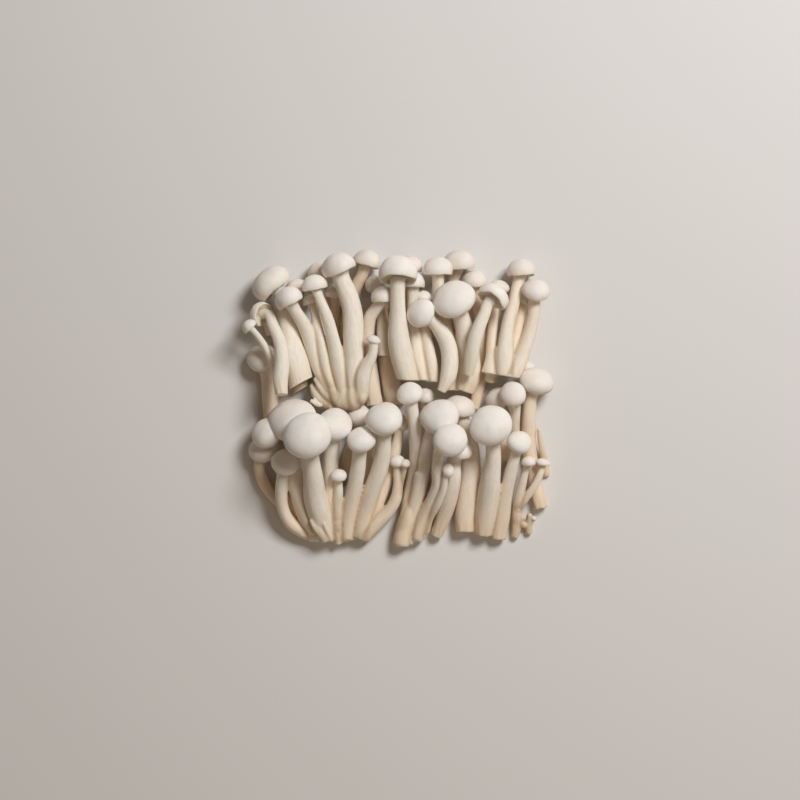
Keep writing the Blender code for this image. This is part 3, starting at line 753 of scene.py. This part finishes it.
# Painted shade for flesh low in the heap: tan on stems, blush on caps, and the heights in metres over which
# it fades in.
PAINTED_SHADE_TAN = (0.840, 0.590, 0.370, 1.0)
PAINTED_SHADE_BLUSH = (0.780, 0.675, 0.585, 1.0)
SHADE_HEIGHTS_STEMS = (0.015, 0.002)
SHADE_HEIGHTS_CAPS = (0.022, 0.003)
SCATTER_REACH = (1.0, 0.62, 0.36)
SCATTER_DEPTH = 0.0022
GLOSS = 0.35


def start_flesh(name, scatter):
    """A finish with what all flesh has in common, and the places, grain and tone that vary over it."""
    flesh = Finish(name)
    flesh.shade({"Subsurface Weight": scatter, "Subsurface Radius": SCATTER_REACH,
                 "Subsurface Scale": SCATTER_DEPTH, "Specular IOR Level": GLOSS})
    place = flesh.node("TexCoord", {}, {}, "Object")
    return flesh, place, flesh.attribute("grain", "Vector"), flesh.attribute("tone", "Fac")


def painted_heap_shade(flesh, place, heights):
    """0 on the upper mushrooms and 1 near the table: where painted shade darkens the low flesh."""
    return flesh.between(flesh.node("SeparateXYZ", {}, {0: place}, 2), *heights)


print("cap white", CAP_WHITE[:3], "stem cream", STEM_CREAM[:3])

# %% The skin of a cap, with faint clouds, tiny pits, a creamy rim and painted shade low in the heap
CAP_CLOUDS = (260.0, 4.0, 0.6)
CLOUD_EDGES = (0.42, 0.72)
CAP_PITS = (1500.0, 3.0)
CAP_STREAKS = (9.0, 3.0)
RIM_EDGES = (0.55, 1.15)
BLUSH_SHARE = 0.75
RIM_SHARE = 0.7
PAINTED_SHADE_SHARE = 0.55
CAP_RELIEF = (0.35, 0.00012)
CAP_ROUGHNESS = 0.5


def make_cap_skin():
    flesh, place, grain, tone = start_flesh("cap_skin", 0.3)
    clouds = flesh.between(flesh.noise(place, *CAP_CLOUDS), *CLOUD_EDGES)
    pits = flesh.noise(place, *CAP_PITS)
    streaks = flesh.noise(grain, *CAP_STREAKS)
    rim = flesh.between(tone + 0.25 * streaks, *RIM_EDGES)
    colour = flesh.blend(BLUSH_SHARE * clouds, CAP_WHITE, CAP_BLUSH)
    colour = flesh.blend(RIM_SHARE * rim, colour, CAP_RIM)
    # Painted shade: caps that lie low in the heap are darker towards the table.
    colour = flesh.blend(PAINTED_SHADE_SHARE * painted_heap_shade(flesh, place, SHADE_HEIGHTS_CAPS), colour, PAINTED_SHADE_BLUSH)
    flesh.relief(*CAP_RELIEF, pits + 0.8 * clouds + 0.5 * rim * streaks)
    flesh.shade({"Base Color": colour, "Roughness": CAP_ROUGHNESS + 0.16 * pits + 0.06 * clouds})
    return flesh.material


# %% A stem, with threads along it, a tan foot, and painted shade in its creases and low in the heap
BROAD_THREADS = (2.75, 2.0)
FINE_THREADS = (5.5, 4.0, 0.62)
THREAD_EDGES = (0.42, 0.68)
STEM_CLOUDS = (120.0, 3.0)
FOOT_EDGES = (0.35, 1.1)
CREASE_SHADE_EDGES = (1.0, 0.4 + CREASE_SHADE_TONE)
STEM_BUMPS = (0.5, 0.00024)
STEM_ROUGHNESS = 0.5


def make_stem_flesh():
    flesh, place, grain, tone = start_flesh("stem_flesh", 0.35)
    broad = flesh.noise(grain, *BROAD_THREADS)
    threads = flesh.noise(grain, *FINE_THREADS)
    clouds = flesh.noise(place, *STEM_CLOUDS)
    colour = flesh.blend(flesh.between(0.55 * threads + 0.45 * broad, *THREAD_EDGES), STEM_CREAM, STEM_THREAD)
    colour = flesh.blend(flesh.between(tone * (0.55 + 0.9 * clouds), *FOOT_EDGES), colour, STEM_FOOT)
    # Painted shade: stems that lie low in the heap turn darker tan towards the table.
    colour = flesh.blend(painted_heap_shade(flesh, place, SHADE_HEIGHTS_STEMS) * (0.35 + 0.6 * clouds), colour, PAINTED_SHADE_TAN)
    # Painted shade in the creases between stems that grew together.
    colour = flesh.blend(flesh.between(tone, *CREASE_SHADE_EDGES), colour, PAINTED_CREASE_SHADE)
    foot = flesh.between(tone, 0.0, 1.0)
    flesh.relief(*STEM_BUMPS, (1.0 + 0.6 * foot) * threads + 0.7 * broad + 0.25 * clouds)
    flesh.shade({"Base Color": colour, "Roughness": STEM_ROUGHNESS + 0.18 * threads})
    return flesh.material


# %% Gills with painted shade in their valleys, and cut flesh
GILL_THREADS = (14.0, 2.0)
GILL_RELIEF = (0.3, 0.0001)
GILL_ROUGHNESS = 0.55
CUT_CRUMBS = (1100.0, 4.0, 0.7)
CUT_CLOUDS = (240.0, 2.0)
CUT_EDGES = (0.85, 1.2)
CUT_RELIEF = (0.6, 0.0002)
CUT_ROUGHNESS = 0.6


def make_gill_flesh():
    flesh, _, grain, tone = start_flesh("gill_flesh", 0.3)
    threads = flesh.noise(grain, *GILL_THREADS)
    # Painted shade: the valleys between the gill pleats are darker.
    colour = flesh.blend(1.0 - tone ** 0.7, GILL_EDGE, PAINTED_GILL_SHADE)
    flesh.relief(*GILL_RELIEF, threads)
    flesh.shade({"Base Color": colour, "Roughness": GILL_ROUGHNESS + 0.1 * threads})
    return flesh.material


def make_cut_flesh():
    flesh, place, grain, _ = start_flesh("cut_flesh", 0.3)
    crumbs = flesh.noise(place, *CUT_CRUMBS)
    clouds = flesh.noise(place, *CUT_CLOUDS)
    across = flesh.node("VectorMath", {"operation": "MULTIPLY"}, {0: grain, 1: (1.0, 1.0, 0.0)})
    from_middle = flesh.node("VectorMath", {"operation": "LENGTH"}, {0: across}, "Value")
    edge = flesh.between(from_middle + 0.3 * clouds, *CUT_EDGES)
    colour = flesh.blend(edge, flesh.blend(0.6 * crumbs, CUT_PALE, STEM_THREAD), CUT_RING)
    flesh.relief(*CUT_RELIEF, crumbs + clouds)
    flesh.shade({"Base Color": colour, "Roughness": CUT_ROUGHNESS + 0.2 * crumbs})
    return flesh.material


FINISHES = [make_cap_skin(), make_stem_flesh(), make_gill_flesh(), make_cut_flesh()]
for finish in FINISHES:
    print(finish.name, "has", len(finish.node_tree.nodes), "nodes")

# %% [markdown]
# The layout of the bunch
#
# The heap has three layers. Stems that show only in the gaps lie flat on the table. The far row of
# clumps lies over them with its caps pointing away from the viewer, and the near row rises from its
# bases, so that its caps look up. Every row here was read off from above, and the heights follow
# from what crosses over what.

# %% The near row
def count_mushrooms():
    print("mushrooms so far:", sum(one.radius > 0 for group in BUNCH.values() for one in group))


BUNCH = {}
BUNCH["clump_lower_left"] = [
    button((-37.5, -13.9, 29), 10, (97, 62), [(-36.3, -25, 21, 7.4), (-35.6, -32, 17, 8.4),
        (-35, -39.5, 12.5, 9.6), (-32.8, -48.5, 8, 9.2), (-30, -58, 4.5, 7.4)]),
    button((-44.3, -7.9, 14.5), 10.2, (115, 50), [(-43.9, -20, 10, 7.2), (-43.2, -30, 8.8, 8.2),
        (-41.5, -38, 7.6, 8.8), (-39, -46, 6, 8.4), (-34.5, -56, 4.5, 7.4)]),
    button((-54.8, -13.2, 12), 6.9, (130, 50), [(-52, -19, 8.6, 4.8), (-49.7, -27, 6, 5.2),
        (-46.9, -37, 3.6, 5.4), (-42.6, -46, 2.9, 5.4), (-36, -55, 3.4, 5.4)]),
    button((-56.8, -20.1, 6.5), 6.2, (120, 50), [(-58.2, -27, 4.6, 5), (-56.9, -33, 3.4, 5.2),
        (-53.5, -38.5, 2.6, 5.2), (-48.3, -43.6, 2.4, 5.2), (-40.5, -51.5, 2.6, 5.4)]),
    button((-47, -25.2, 17), 6, (110, 60), [(-48.2, -31, 14, 5), (-48.9, -38, 11, 5.2),
        (-48.2, -45, 8, 5.2), (-45.6, -50.4, 5.8, 5.4), (-41, -54, 4.2, 5.6), (-35, -56.6, 3.6, 5.6)]),
    button((-26.8, -9.8, 18), 7.4, (80, 62), [(-27.8, -17.5, 13.5, 6.6), (-28.6, -27, 10, 7),
        (-28.3, -38, 7.5, 7.2), (-27, -50, 4.8, 7), (-26, -58.6, 3.8, 6)]),
    Mushroom((-25.2, -30.5, 14.2), 3.5, (90, 25), [(-25.2, -33.5, 12.6, 3.3), (-25.3, -38.5, 11, 3.8),
        (-26, -44, 8.5, 4.2), (-26, -52, 6, 4.6)], height=3.7),
    button((-15.8, -15.8, 21), 6.2, (95, 45), [(-16.5, -22, 17, 6.2), (-17.2, -28, 14.3, 6.6),
        (-18.8, -36, 10.8, 6.6), (-20.6, -44, 7.5, 6.4), (-21.7, -51, 5.2, 6.4), (-22, -58.8, 4, 6.2)]),
    button((-6.5, -7.2, 22), 7.9, (95, 45), [(-6.6, -15.5, 17.5, 6.5), (-7, -22, 14.7, 7),
        (-8.7, -29.5, 12, 7.6), (-11.5, -37, 9, 7.4), (-14.4, -46, 6, 6.8), (-17, -58, 4, 6.4)]),
    Mushroom((-1.2, -24.8, 10.2), 3.4, (95, 25), [(-1.2, -28.5, 9, 3.8), (-0.8, -35, 8, 4.2),
        (-1.8, -41, 7, 4.8), (-5, -46.5, 5.8, 5.4), (-9.5, -51, 4.8, 6), (-16, -57.5, 4, 6)]),
    Mushroom((2.2, -25.8, 11.9), 2.2, (85, 30), [(1.7, -29, 9.8, 2.5), (0.5, -33.5, 8.3, 2.6),
        (-0.5, -38, 7.3, 3)]),
    Mushroom((1.2, -8.9, 7.6), 3.6, (35, 30), [(-0.4, -13.5, 6.6, 4), (-2, -21, 5.8, 5),
        (-4.4, -30, 5, 5.2), (-7.5, -38.5, 4.2, 5.4), (-11, -46.5, 4, 5.4), (-16, -55, 4, 5)]),
    finger([(-36.8, -49.4, 11.4, 1.4), (-35.3, -52.5, 10.4, 2), (-33, -55.5, 9, 2.6),
        (-30.8, -57.6, 7.6, 3.2)]),
    finger([(-11.6, -16, 3.2, 5.6), (-13, -30, 3.2, 6), (-17, -48, 3.2, 6)]),
    lump([(-35, -54.5, 2.5, 4.6), (-30, -55.5, 3, 5.6), (-23, -56, 3, 5.6), (-16.5, -55, 2.5, 4.6)]),
]

BUNCH["clump_lower_middle"] = [
    button((16, -6.5, 20), 8.1, (115, 55), [(12.8, -13.5, 16, 5.6), (11, -21, 13.5, 5.6),
        (9.7, -29, 11, 5.4), (8.3, -37, 8, 5.4), (5, -47, 5, 5.8), (2.4, -59.4, 3.2, 6.4)]),
    button((20.5, -16, 28), 7.1, (75, 68), [(16.5, -22, 21.5, 5), (15.2, -28, 18, 5),
        (15.3, -34, 14.5, 4.8), (13, -41, 10.2, 5), (9.6, -49, 5.6, 6.2), (6.4, -57.8, 3.2, 6.8)]),
    Mushroom((20, -28.5, 19.5), 2.9, (30, 40), [(18.6, -31.3, 18, 2.8), (17.9, -36, 15.5, 3.2),
        (15.5, -42.5, 11.5, 3.6), (11.8, -49, 6.2, 4.2), (9.9, -54.6, 3.4, 5.2)]),
    finger([(8, -30.5, 12, 4.5), (7, -36, 9.6, 4.6), (5, -43, 6.6, 5), (2, -51, 3.8, 6), (0, -60, 2.6, 5)]),
    button((3.9, 3, 19), 5.4, (100, 50), [(5, -4.5, 15.5, 5.4), (6.5, -13, 12.5, 6.4), (7.2, -22, 9, 6.8),
        (5.9, -33, 6, 6.8), (3.6, -43, 4, 6.4), (2.6, -52, 3, 5.6)]),
]

BUNCH["clump_lower_right"] = [
    Mushroom((24.5, -2.2, 9.6), 6.6, (85, 20), [(25.6, -8, 8.5, 6.2), (27.6, -16, 8, 7.6),
        (28.8, -24, 7.4, 8.6), (28.8, -32, 6.2, 8.8), (27.8, -41, 5, 8.6), (26.8, -49, 4.2, 8.4),
        (26.7, -54.7, 3.8, 7.6)]),
    button((36.9, -10, 24), 8.8, (100, 65), [(38, -18.5, 18, 6.3), (38.2, -25, 15.5, 6.8),
        (37.3, -32, 12.5, 8.3), (36.5, -39, 9, 9), (35.5, -47, 6, 9), (34.5, -55.8, 3.9, 7.2)]),
    button((49, -17, 17), 5.3, (60, 50), [(47.6, -21.5, 14.5, 4.4), (46.2, -27, 12.3, 4.9),
        (44.6, -34, 9.5, 5.4), (43.3, -41, 7, 5.7), (42, -49, 4.2, 6.8), (40.6, -57.8, 3.1, 6.2)]),
    lump([(26, -51, 2.5, 4.4), (32, -52, 3, 5.4), (39, -53, 2.5, 4.4)]),
]
count_mushrooms()

# %% The far row
BUNCH["clump_centre"] = [
    Mushroom((-46, 42.2, 19.2), 6, (119, 6), [(-43.4, 37.4, 17.4, 5.2), (-39, 30, 13.8, 5.6),
        (-36, 21, 11.1, 5.8), (-33, 12, 9.4, 5.6), (-27.5, 2.5, 9, 5.6)], height=7.3),
    Mushroom((-35.2, 48, 15.5), 5.2, (102, 3), [(-33.4, 42.5, 15.5, 4.4), (-30, 34, 15, 5),
        (-27.5, 25, 13.5, 5.6), (-25, 13, 11.5, 6.2), (-22, 0.5, 10, 6.4)], height=6.2),
    Mushroom((-37, 41.5, 8.5), 3.7, (110, 5), [(-35.5, 37, 10, 3.6), (-33.9, 30, 11.4, 4.4),
        (-32, 20, 11.6, 4.8), (-29.8, 10, 10.8, 4.4), (-27, 2, 10, 4)]),
    Mushroom((-25.7, 55.9, 14), 7.5, (111, 5), [(-24.2, 50, 13.4, 7), (-21.7, 44, 12.8, 7.8),
        (-19.6, 36, 12.4, 8.4), (-19.2, 26, 12, 8.6), (-19, 14, 11, 8.6), (-19.3, 1, 10, 7.8)], height=8.2),
    Mushroom((-10.8, 25, 16), 3.1, (75, 10), [(-10.8, 21.8, 16, 4), (-11.6, 18, 15.3, 4.6),
        (-13.7, 14, 14, 6), (-15.4, 9.5, 12.9, 7.2), (-16.2, 2, 10.8, 7)], height=2.8),
    finger([(-34.8, 8.8, 9.3, 2.4), (-32.5, 5, 9.3, 3.2), (-29.5, 1.6, 9.3, 4), (-25, -1, 9.6, 4.6)]),
    finger([(-36.3, 6.3, 7, 2.4), (-34.8, 3.2, 7.1, 4.2), (-32.2, -0.6, 7.5, 5), (-28, -2.2, 8.2, 5)]),
    lump([(-28.5, 2.2, 9.6, 5), (-23, -0.2, 9.6, 8.2), (-17, 0.8, 10.7, 6.8), (-14.8, 3.6, 11.7, 4.6)]),
]

BUNCH["clump_upper_middle"] = [
    Mushroom((-0.8, 53.4, 18.6), 8.1, (91, -14), [(-0.9, 46.4, 18.6, 6), (-0.9, 40, 18.2, 6.2),
        (-0.8, 33, 17.4, 7), (-0.5, 25, 16.3, 9), (0.3, 20, 15.5, 9.8), (1.7, 14, 14.6, 9.2),
        (3.5, 7.5, 13.6, 8.6)], height=10.4, cut=(5, 8, 268)),
    Mushroom((5.4, 49.2, 11.4), 5.2, (88, 0), [(5.2, 44, 10.8, 5), (5.3, 35, 9.8, 5.2), (6.3, 25, 10, 5.4),
        (7.8, 17, 10.6, 5.6), (9.3, 7.7, 11.4, 5.8)], height=6.4, cut=(5, 8.2, 268)),
    Mushroom((9.4, 42.6, 9.3), 3.8, (95, 15), [(9.8, 38, 9, 4), (10.3, 30, 9.5, 4.4), (11.7, 21, 10.3, 5),
        (12.8, 15, 10.7, 5.2), (13.3, 7.2, 10.8, 5)], height=4.6, cut=(5, 7.7, 268)),
]

BUNCH["clump_upper_right"] = [
    Mushroom((50, 54.4, 6.3), 6.1, (93, -3), [(48.9, 49, 6.5, 5), (46.8, 40, 8.5, 5.2), (44.4, 31, 10, 5.6),
        (43.2, 22, 11, 6.4), (43, 9.8, 12, 7.6)], height=7.2, cut=(40, 10.3, 261)),
    Mushroom((56.1, 45.9, 11), 6.1, (80, 30), [(55.3, 40, 9, 5), (55, 35, 8.5, 5.2), (53.6, 28.5, 8.5, 5.6),
        (51.2, 21, 9.5, 6), (48.3, 14, 11, 6.2), (45.6, 9.6, 12, 6.4)], height=6, cut=(40, 10.3, 261)),
    Mushroom((51.5, 42, 4), 3.8, (60, 10), [(50.3, 38, 4, 4.8), (49.5, 33, 4.5, 5.2), (48, 26, 6, 5.6),
        (46.3, 18, 8, 5.6), (45, 11.5, 10, 5.6)]),
    Mushroom((40.6, 47, 4.9), 4.6, (88, 5), [(39.6, 41, 4.6, 4), (38.6, 33, 5.6, 4.4), (37.8, 24, 7.6, 4.6),
        (37.3, 16, 9.6, 5), (36.6, 10.6, 11, 6.8)], cut=(40, 10.3, 261)),
    finger([(40.5, 21, 10.4, 3.4), (39.8, 10.4, 11, 5.6)], cut=(40, 10.3, 261)),
    lump([(38.4, 17, 7.4, 4.4), (37.6, 8.6, 6.4, 5.6)]),
]

BUNCH["clump_upper_left"] = [
    Mushroom((-34, 54.3, 4.9), 4.7, (110, 5), [(-32.3, 48.5, 4, 5), (-31.5, 38, 2.7, 5.4),
        (-32.3, 26, 2.5, 5.8), (-29, 8, 2.5, 5.8)]),
    Mushroom((-27, 44.6, 4.6), 4.3, (85, 5), [(-27, 39.5, 3.2, 4.4), (-27.4, 28, 2.4, 5.4),
        (-26.6, 14, 2.4, 5.8), (-26.3, 5.4, 2.4, 5.6)]),
    Mushroom((-13.3, 58.3, 6.1), 5.9, (75, 0), [(-15, 53, 5.2, 5), (-17.5, 48, 4, 5), (-20.5, 40, 3, 5.4),
        (-22.6, 28, 2.5, 5.8), (-22.4, 12, 2.5, 5.8), (-23.3, 7, 2.5, 5.6)], height=6.9),
    lump([(-29.5, 8, 2, 4.6), (-26, 6, 2, 5), (-22.5, 8, 2, 4.6)]),
]
count_mushrooms()

# %% The right side, and the tiny ones at its corner
BUNCH["clump_inner_right"] = [
    button((22, 41.7, 18), 8.9, (110, 52), [(24.8, 34.5, 13, 7.2), (27, 27, 10.5, 8.2),
        (28.2, 18, 8.5, 9.2), (28.2, 10, 7, 9.8), (26.2, 3.4, 6.6, 8.2)], height=8.4),
    Mushroom((15.7, 54.9, 11.5), 6, (88, 3), [(15.7, 49.4, 10.8, 5.2), (15.8, 45, 10, 5.2),
        (16.8, 38, 8.6, 5.4), (19.8, 28, 7.4, 5.4), (22.6, 16, 6.6, 6), (21.6, 3.8, 6.2, 6.6)], height=7.4),
    Mushroom((24.5, 57.8, 7), 6.8, (90, 8), [(22.6, 51, 4.8, 4.8), (21.7, 46, 3.6, 5), (22.3, 38, 2.7, 5.6),
        (23.8, 28, 2.6, 5.6), (25.3, 15, 2.8, 6), (24.6, 5, 3, 6)], height=7.4),
]

BUNCH["clump_small_right"] = [
    Mushroom((52.8, -25, 13), 3.1, (90, 15), [(52, -28, 11.5, 2.8), (50.6, -34, 9.5, 3.3),
        (49.2, -40, 7.5, 3.7), (48.5, -46, 5, 4), (48.3, -52.5, 2.6, 4), (47.6, -57, 1.5, 3.2)]),
    Mushroom((59, -25.5, 9), 3.1, (80, 10), [(58.6, -28, 8.5, 2.7), (57.4, -31.5, 8.5, 2.9),
        (54.8, -36.5, 8, 3.2), (51.8, -40.5, 7, 3.4), (49, -44.5, 6, 3.4)], height=2.5),
    Mushroom((55.4, -48.8, 4.4), 1.3, (60, 20), [(54.8, -50, 3.8, 1.8), (53.5, -51.5, 2.8, 2.6),
        (50.5, -51.5, 2.8, 3.2), (48.5, -50, 3.2, 3)]),
    finger([(53.5, -47.5, 4.8, 2.2), (53.4, -50.5, 3, 3), (53.3, -54.8, 1.5, 3.2)]),
]

BUNCH["pair_right_edge"] = [
    button((56.5, 8.3, 8.5), 7.5, (72, 28), [(54, 2, 6.5, 6), (53.3, -8, 5, 6.2), (53.5, -20, 3.4, 6),
        (55.5, -33, 2.6, 5.8), (58.3, -45, 2.6, 6)]),
    Mushroom((52.6, 13.9, 3.7), 3.5, (100, 20), [(52.9, 9.5, 3.7, 3.2), (53.6, 2, 5, 3.2)]),
]

BUNCH["pair_inner_right"] = [
    button((46.2, 2.6, 14.6), 5.5, (120, 62), [(47.4, -2.5, 10.6, 4.6), (47.3, -10, 7, 4.6),
        (47.4, -20, 2.6, 4.8), (45, -32, 2.5, 5.5)]),
    button((40.2, 1, 6.6), 5.5, (125, 35), [(42.4, -2.8, 5, 4), (44, -8, 4.5, 4.6), (43.8, -16, 4.5, 5),
        (43.3, -24, 5, 5)], round_base=True),
]
count_mushrooms()

# %% Loose mushrooms, the crumb and the splinter
BUNCH |= {
    "mushroom_broad": [button((-53.6, 48.6, 8.8), 8.6, (132, 0), [(-49.6, 44, 9, 6),
        (-47.8, 37.5, 9.7, 6.8), (-45.6, 27, 10.5, 8.6), (-43, 16, 11, 10.2), (-40.8, 7, 11, 10.6)],
        height=10, cut=(-40.8, 7, 298))],
    "mushroom_open_left": [Mushroom((-57.8, 35.6, 11.6), 5.3, (160, -38), [(-54.3, 35.4, 14.4, 4.2),
        (-52, 30.4, 16.4, 4.6), (-48.9, 22.7, 18.2, 5.6), (-48.2, 16, 19, 6.2), (-48.8, 8, 19.6, 6.4),
        (-48.2, 2, 21, 5.2)], height=5.6)],
    "mushroom_small_left": [Mushroom((-62, 30.5, 18), 3.3, (133, 5), [(-60.2, 28.6, 17.6, 2.7),
        (-57.1, 24.6, 16.2, 3), (-54.2, 19.5, 14.6, 3.2), (-52, 14, 13.5, 3.2), (-50, 10, 13, 3)],
        height=3.9)],
    "mushroom_low_left": [Mushroom((-57.2, 37.2, 3.3), 3.1, (120, 10), [(-55.8, 34, 2.8, 3.6),
        (-54.6, 30, 1.9, 4), (-53.6, 26.6, 1.9, 4)])],
    "mushroom_under_left": [Mushroom((-42.6, 47.2, 5.2), 4.9, (95, 10), [(-42.8, 40, 3.2, 4.4),
        (-43.3, 28, 2.3, 5.4), (-42.5, 15, 2.2, 6), (-41, 4, 2.1, 6.8)], cut=(-41.5, 4, 300))],
    "mushroom_left_edge": [Mushroom((-57.2, 18, 6.8), 6.4, (110, 55), [(-54.8, 11, 4.4, 6.6),
        (-53.8, 0, 3.2, 7), (-53.3, -9.5, 2.6, 6.4)], height=6.6)],
    "mushroom_under_middle": [Mushroom((4.2, 56.4, 5.4), 5.2, (82, 0), [(3, 50, 3.6, 5), (0, 40, 2.5, 5.8),
        (-4.5, 28, 2.6, 6.2), (-5.6, 19, 3, 6.8), (-4, 9, 3.8, 8.6), (-1.4, -2, 3.8, 8.6)], height=6)],
    "mushroom_bent": [Mushroom((-7, 43.3, 13.1), 5, (95, 3), [(-9, 38.6, 11.6, 5), (-12.3, 34, 9.4, 5.4),
        (-13.3, 28, 7.6, 5.6), (-13, 18, 6.8, 6), (-11.8, 8, 6.4, 6.4), (-10.4, -2, 6, 6.6)], height=6.4)],
    "mushroom_short": [Mushroom((-10.6, 48.4, 4.4), 4.3, (105, 20), [(-8.4, 42, 4.2, 4.6),
        (-7.1, 32, 7.1, 4.8), (-6.8, 24, 9.8, 5.2), (-6.5, 18.3, 10.6, 5.2)], height=6,
        cut=(-6.5, 18.3, 270))],
    "mushroom_lone_bend": [button((8.3, 35.7, 18.6), 6.1, (150, 60), [(12.5, 33, 16, 5),
        (16.5, 28.5, 14.2, 6), (19.5, 23, 13.5, 6.8), (20.5, 16, 14, 7), (19.5, 9, 15, 6.2),
        (16.8, 3.5, 15.5, 3.5)])],
    "mushroom_under_right": [Mushroom((30.8, 50.1, 6), 5.6, (90, 8), [(31.2, 45, 4.3, 4.8),
        (33, 34, 2.8, 4.8), (34.2, 22, 2.3, 5), (33.6, 10, 2.3, 5), (31.9, 2, 2.2, 4.8),
        (30.4, -3.5, 2.2, 4.6)], height=6.4)],
    "mushroom_open_right": [Mushroom((38.8, 43.1, 16.8), 6.6, (57, -20), [(36.3, 40, 17.4, 5),
        (34.4, 35, 18, 5.2), (32.3, 30, 18.2, 5.6), (30.6, 25, 18.1, 6), (29.3, 18, 17, 5.8),
        (28, 10.3, 15.4, 4)])],
    "mushroom_lower_lone": [Mushroom((24.6, -19.4, 17.9), 5.8, (75, 20), [(22.5, -24, 14.5, 5.5),
        (22.1, -32, 12.8, 6), (20.6, -40, 9.3, 6.5), (18.5, -47, 5.6, 6.4), (15.2, -56, 2.8, 5.2)])],
    "mushroom_under_lower_middle": [Mushroom((10.3, 2.2, 9), 4.1, (90, 30), [(10.6, -3, 7, 3.8),
        (11.5, -12, 4, 4.4), (13, -24, 2.3, 5), (14, -35, 2.2, 5)])],
    "mushroom_under_lower_left": [Mushroom((-17, -5.8, 7), 5.2, (90, 45), [(-18.1, -13, 4.4, 5),
        (-20.7, -24, 3, 7), (-21.8, -32, 3, 7)])],
    "crumb": [
        lump([(-32.4, -2.2, 12.2, 1.7), (-33.9, -1.6, 12.4, 2.2), (-35.2, 0.4, 12, 1.5)]),
        lump([(-36.5, -0.2, 13, 1.4), (-35.2, -1, 12.8, 1.7), (-33.8, -1.8, 12.4, 2)])],
    "splinter": [finger([(57.3, -12, 7, 2), (58.3, -18, 5, 2.6), (59.8, -25, 2, 3), (60.8, -31, 1.2, 3)])],
}
count_mushrooms()

# %% [markdown]
# Folds over a shared foot
#
# Where a fan of stems was pulled off its block, each stem runs on over the shared foot as a fold, and
# a few shreds of fibre stand up beside the tear. Broad folds also bridge the gaps between feet that
# grew as one block. All this could be carved into the melted skin, but short fingers laid along the
# stems melt in with the rest, and they follow the same rules. Nothing of it adds to the size of a
# clump, so the solids can do without it.

# %% Folds and shreds of the torn clumps
FOLDS = {
    "clump_centre": [
        lump([(-15.8, 6.5, 11.8, 5), (-16.3, 1.5, 11.5, 6.2), (-17.5, -1.8, 9.8, 4.2)]),
        lump([(-19.2, 5, 11.2, 6.6), (-19.7, 0, 11, 7.2), (-20.5, -2.8, 9.4, 4.6)]),
        lump([(-22.6, 4, 11, 5.6), (-22.6, -0.5, 10.9, 6), (-22.9, -3.2, 9.4, 4)]),
        lump([(-28, 4, 10.4, 4.6), (-26.2, -0.2, 10.4, 5), (-25, -3, 9, 3.6)]),
    ],
    "clump_lower_left": [
        finger([(-34.4, -51.8, 11, 1), (-32.6, -54.6, 9.9, 1.7), (-29.6, -57.6, 7.8, 1.9)]),
        finger([(-31.4, -50.8, 11.8, 1), (-30, -54.2, 10, 1.7), (-28.2, -57.8, 7.6, 1.9)]),
        finger([(-26, -50, 7, 4), (-25.9, -54, 6, 4.2), (-25.6, -58.8, 4.8, 3.6)]),
        lump([(-43.6, -52.9, 4.6, 4.4), (-39.5, -55, 4.4, 5), (-34.5, -56, 4.6, 5.2), (-30, -56.2, 4.8, 5)]),
    ],
    "clump_lower_middle": [
        finger([(4.6, -50, 6.9, 2), (3.4, -54.5, 5.8, 2.6), (2.6, -59, 5, 2.6)]),
        finger([(4.6, -41.5, 6, 4.6), (2.9, -48, 5.8, 6.2), (1.3, -54, 4.6, 7.2), (0.6, -59.2, 4, 7)]),
        finger([(10.9, -46, 8.2, 3.8), (8.9, -51.5, 5.6, 5.6), (6.8, -56.6, 4.4, 6)]),
        finger([(9.6, -50.5, 7.6, 2), (8.4, -54.5, 6.2, 2.6), (7, -57.6, 5.2, 2.6)]),
    ],
}
print("folds and shreds:", sum(len(folds) for folds in FOLDS.values()))

# %% Pieces from surfaces
MM = 0.001
HEAP_CENTRE = (-0.7, 0.5)
SHARP_ANGLE = 60.0


def make_piece(name, surface):
    """An object from a surface, in metres and centred as the solids are."""
    mesh = bpy.data.meshes.new(name)
    placed = np.clip((surface.points - np.array((*HEAP_CENTRE, 0.0))) * MM, *cad_box)
    mesh.from_pydata(placed.tolist(), [], surface.faces)
    for finish in FINISHES:
        mesh.materials.append(finish)
    mesh.polygons.foreach_set("material_index", surface.finish)
    mesh.polygons.foreach_set("use_smooth", [True] * len(surface.faces))
    mesh.set_sharp_from_angle(angle=math.radians(SHARP_ANGLE))
    mesh.attributes.new("grain", "FLOAT_VECTOR", "POINT").data.foreach_set("vector", surface.grain.ravel())
    mesh.attributes.new("tone", "FLOAT", "POINT").data.foreach_set("value", surface.tone.ravel())
    return add_object(name, mesh)


def grow(node, group):
    """The piece that stands for a node, with its stems melted together where it has several."""
    luck = np.random.default_rng(sum(map(ord, node)))
    caps = [cap_surface(one, luck) for one in group if one.radius]
    group = group + FOLDS.get(node, [])
    stems = [stem_surface(one, luck) for one in group]
    if len(group) > 1:
        stems = [fused_stems(group, stems, OWN_VOXEL.get(node, VOXEL))]
    piece = make_piece(node + "_flesh", joined(stems + caps))
    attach(piece, "root")
    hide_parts(node)
    return piece


# %% Grow every clump and every loose mushroom
TORN = {"clump_lower_left": 2.0, "clump_lower_middle": 1.0, "clump_lower_right": 0.5,
        "clump_small_right": 0.5, "clump_centre": 1.0, "clump_upper_left": 0.6,
        "clump_upper_right": 0.4, "clump_inner_right": 0.6}
SLIGHTLY_TORN = 0.3
WAVY = {"mushroom_open_left": 0.05, "mushroom_open_right": 0.06}
triangles = 0
for node, group in BUNCH.items():
    for one in group:
        one.wave = WAVY.get(node, one.wave)
        if one.radius and not one.cut and not one.round_base:
            one.torn = TORN.get(node, SLIGHTLY_TORN)
    piece = grow(node, group)
    made = sum(len(face.vertices) - 2 for face in piece.data.polygons)
    triangles += made
    print(node, made, "triangles")
print("all", triangles)
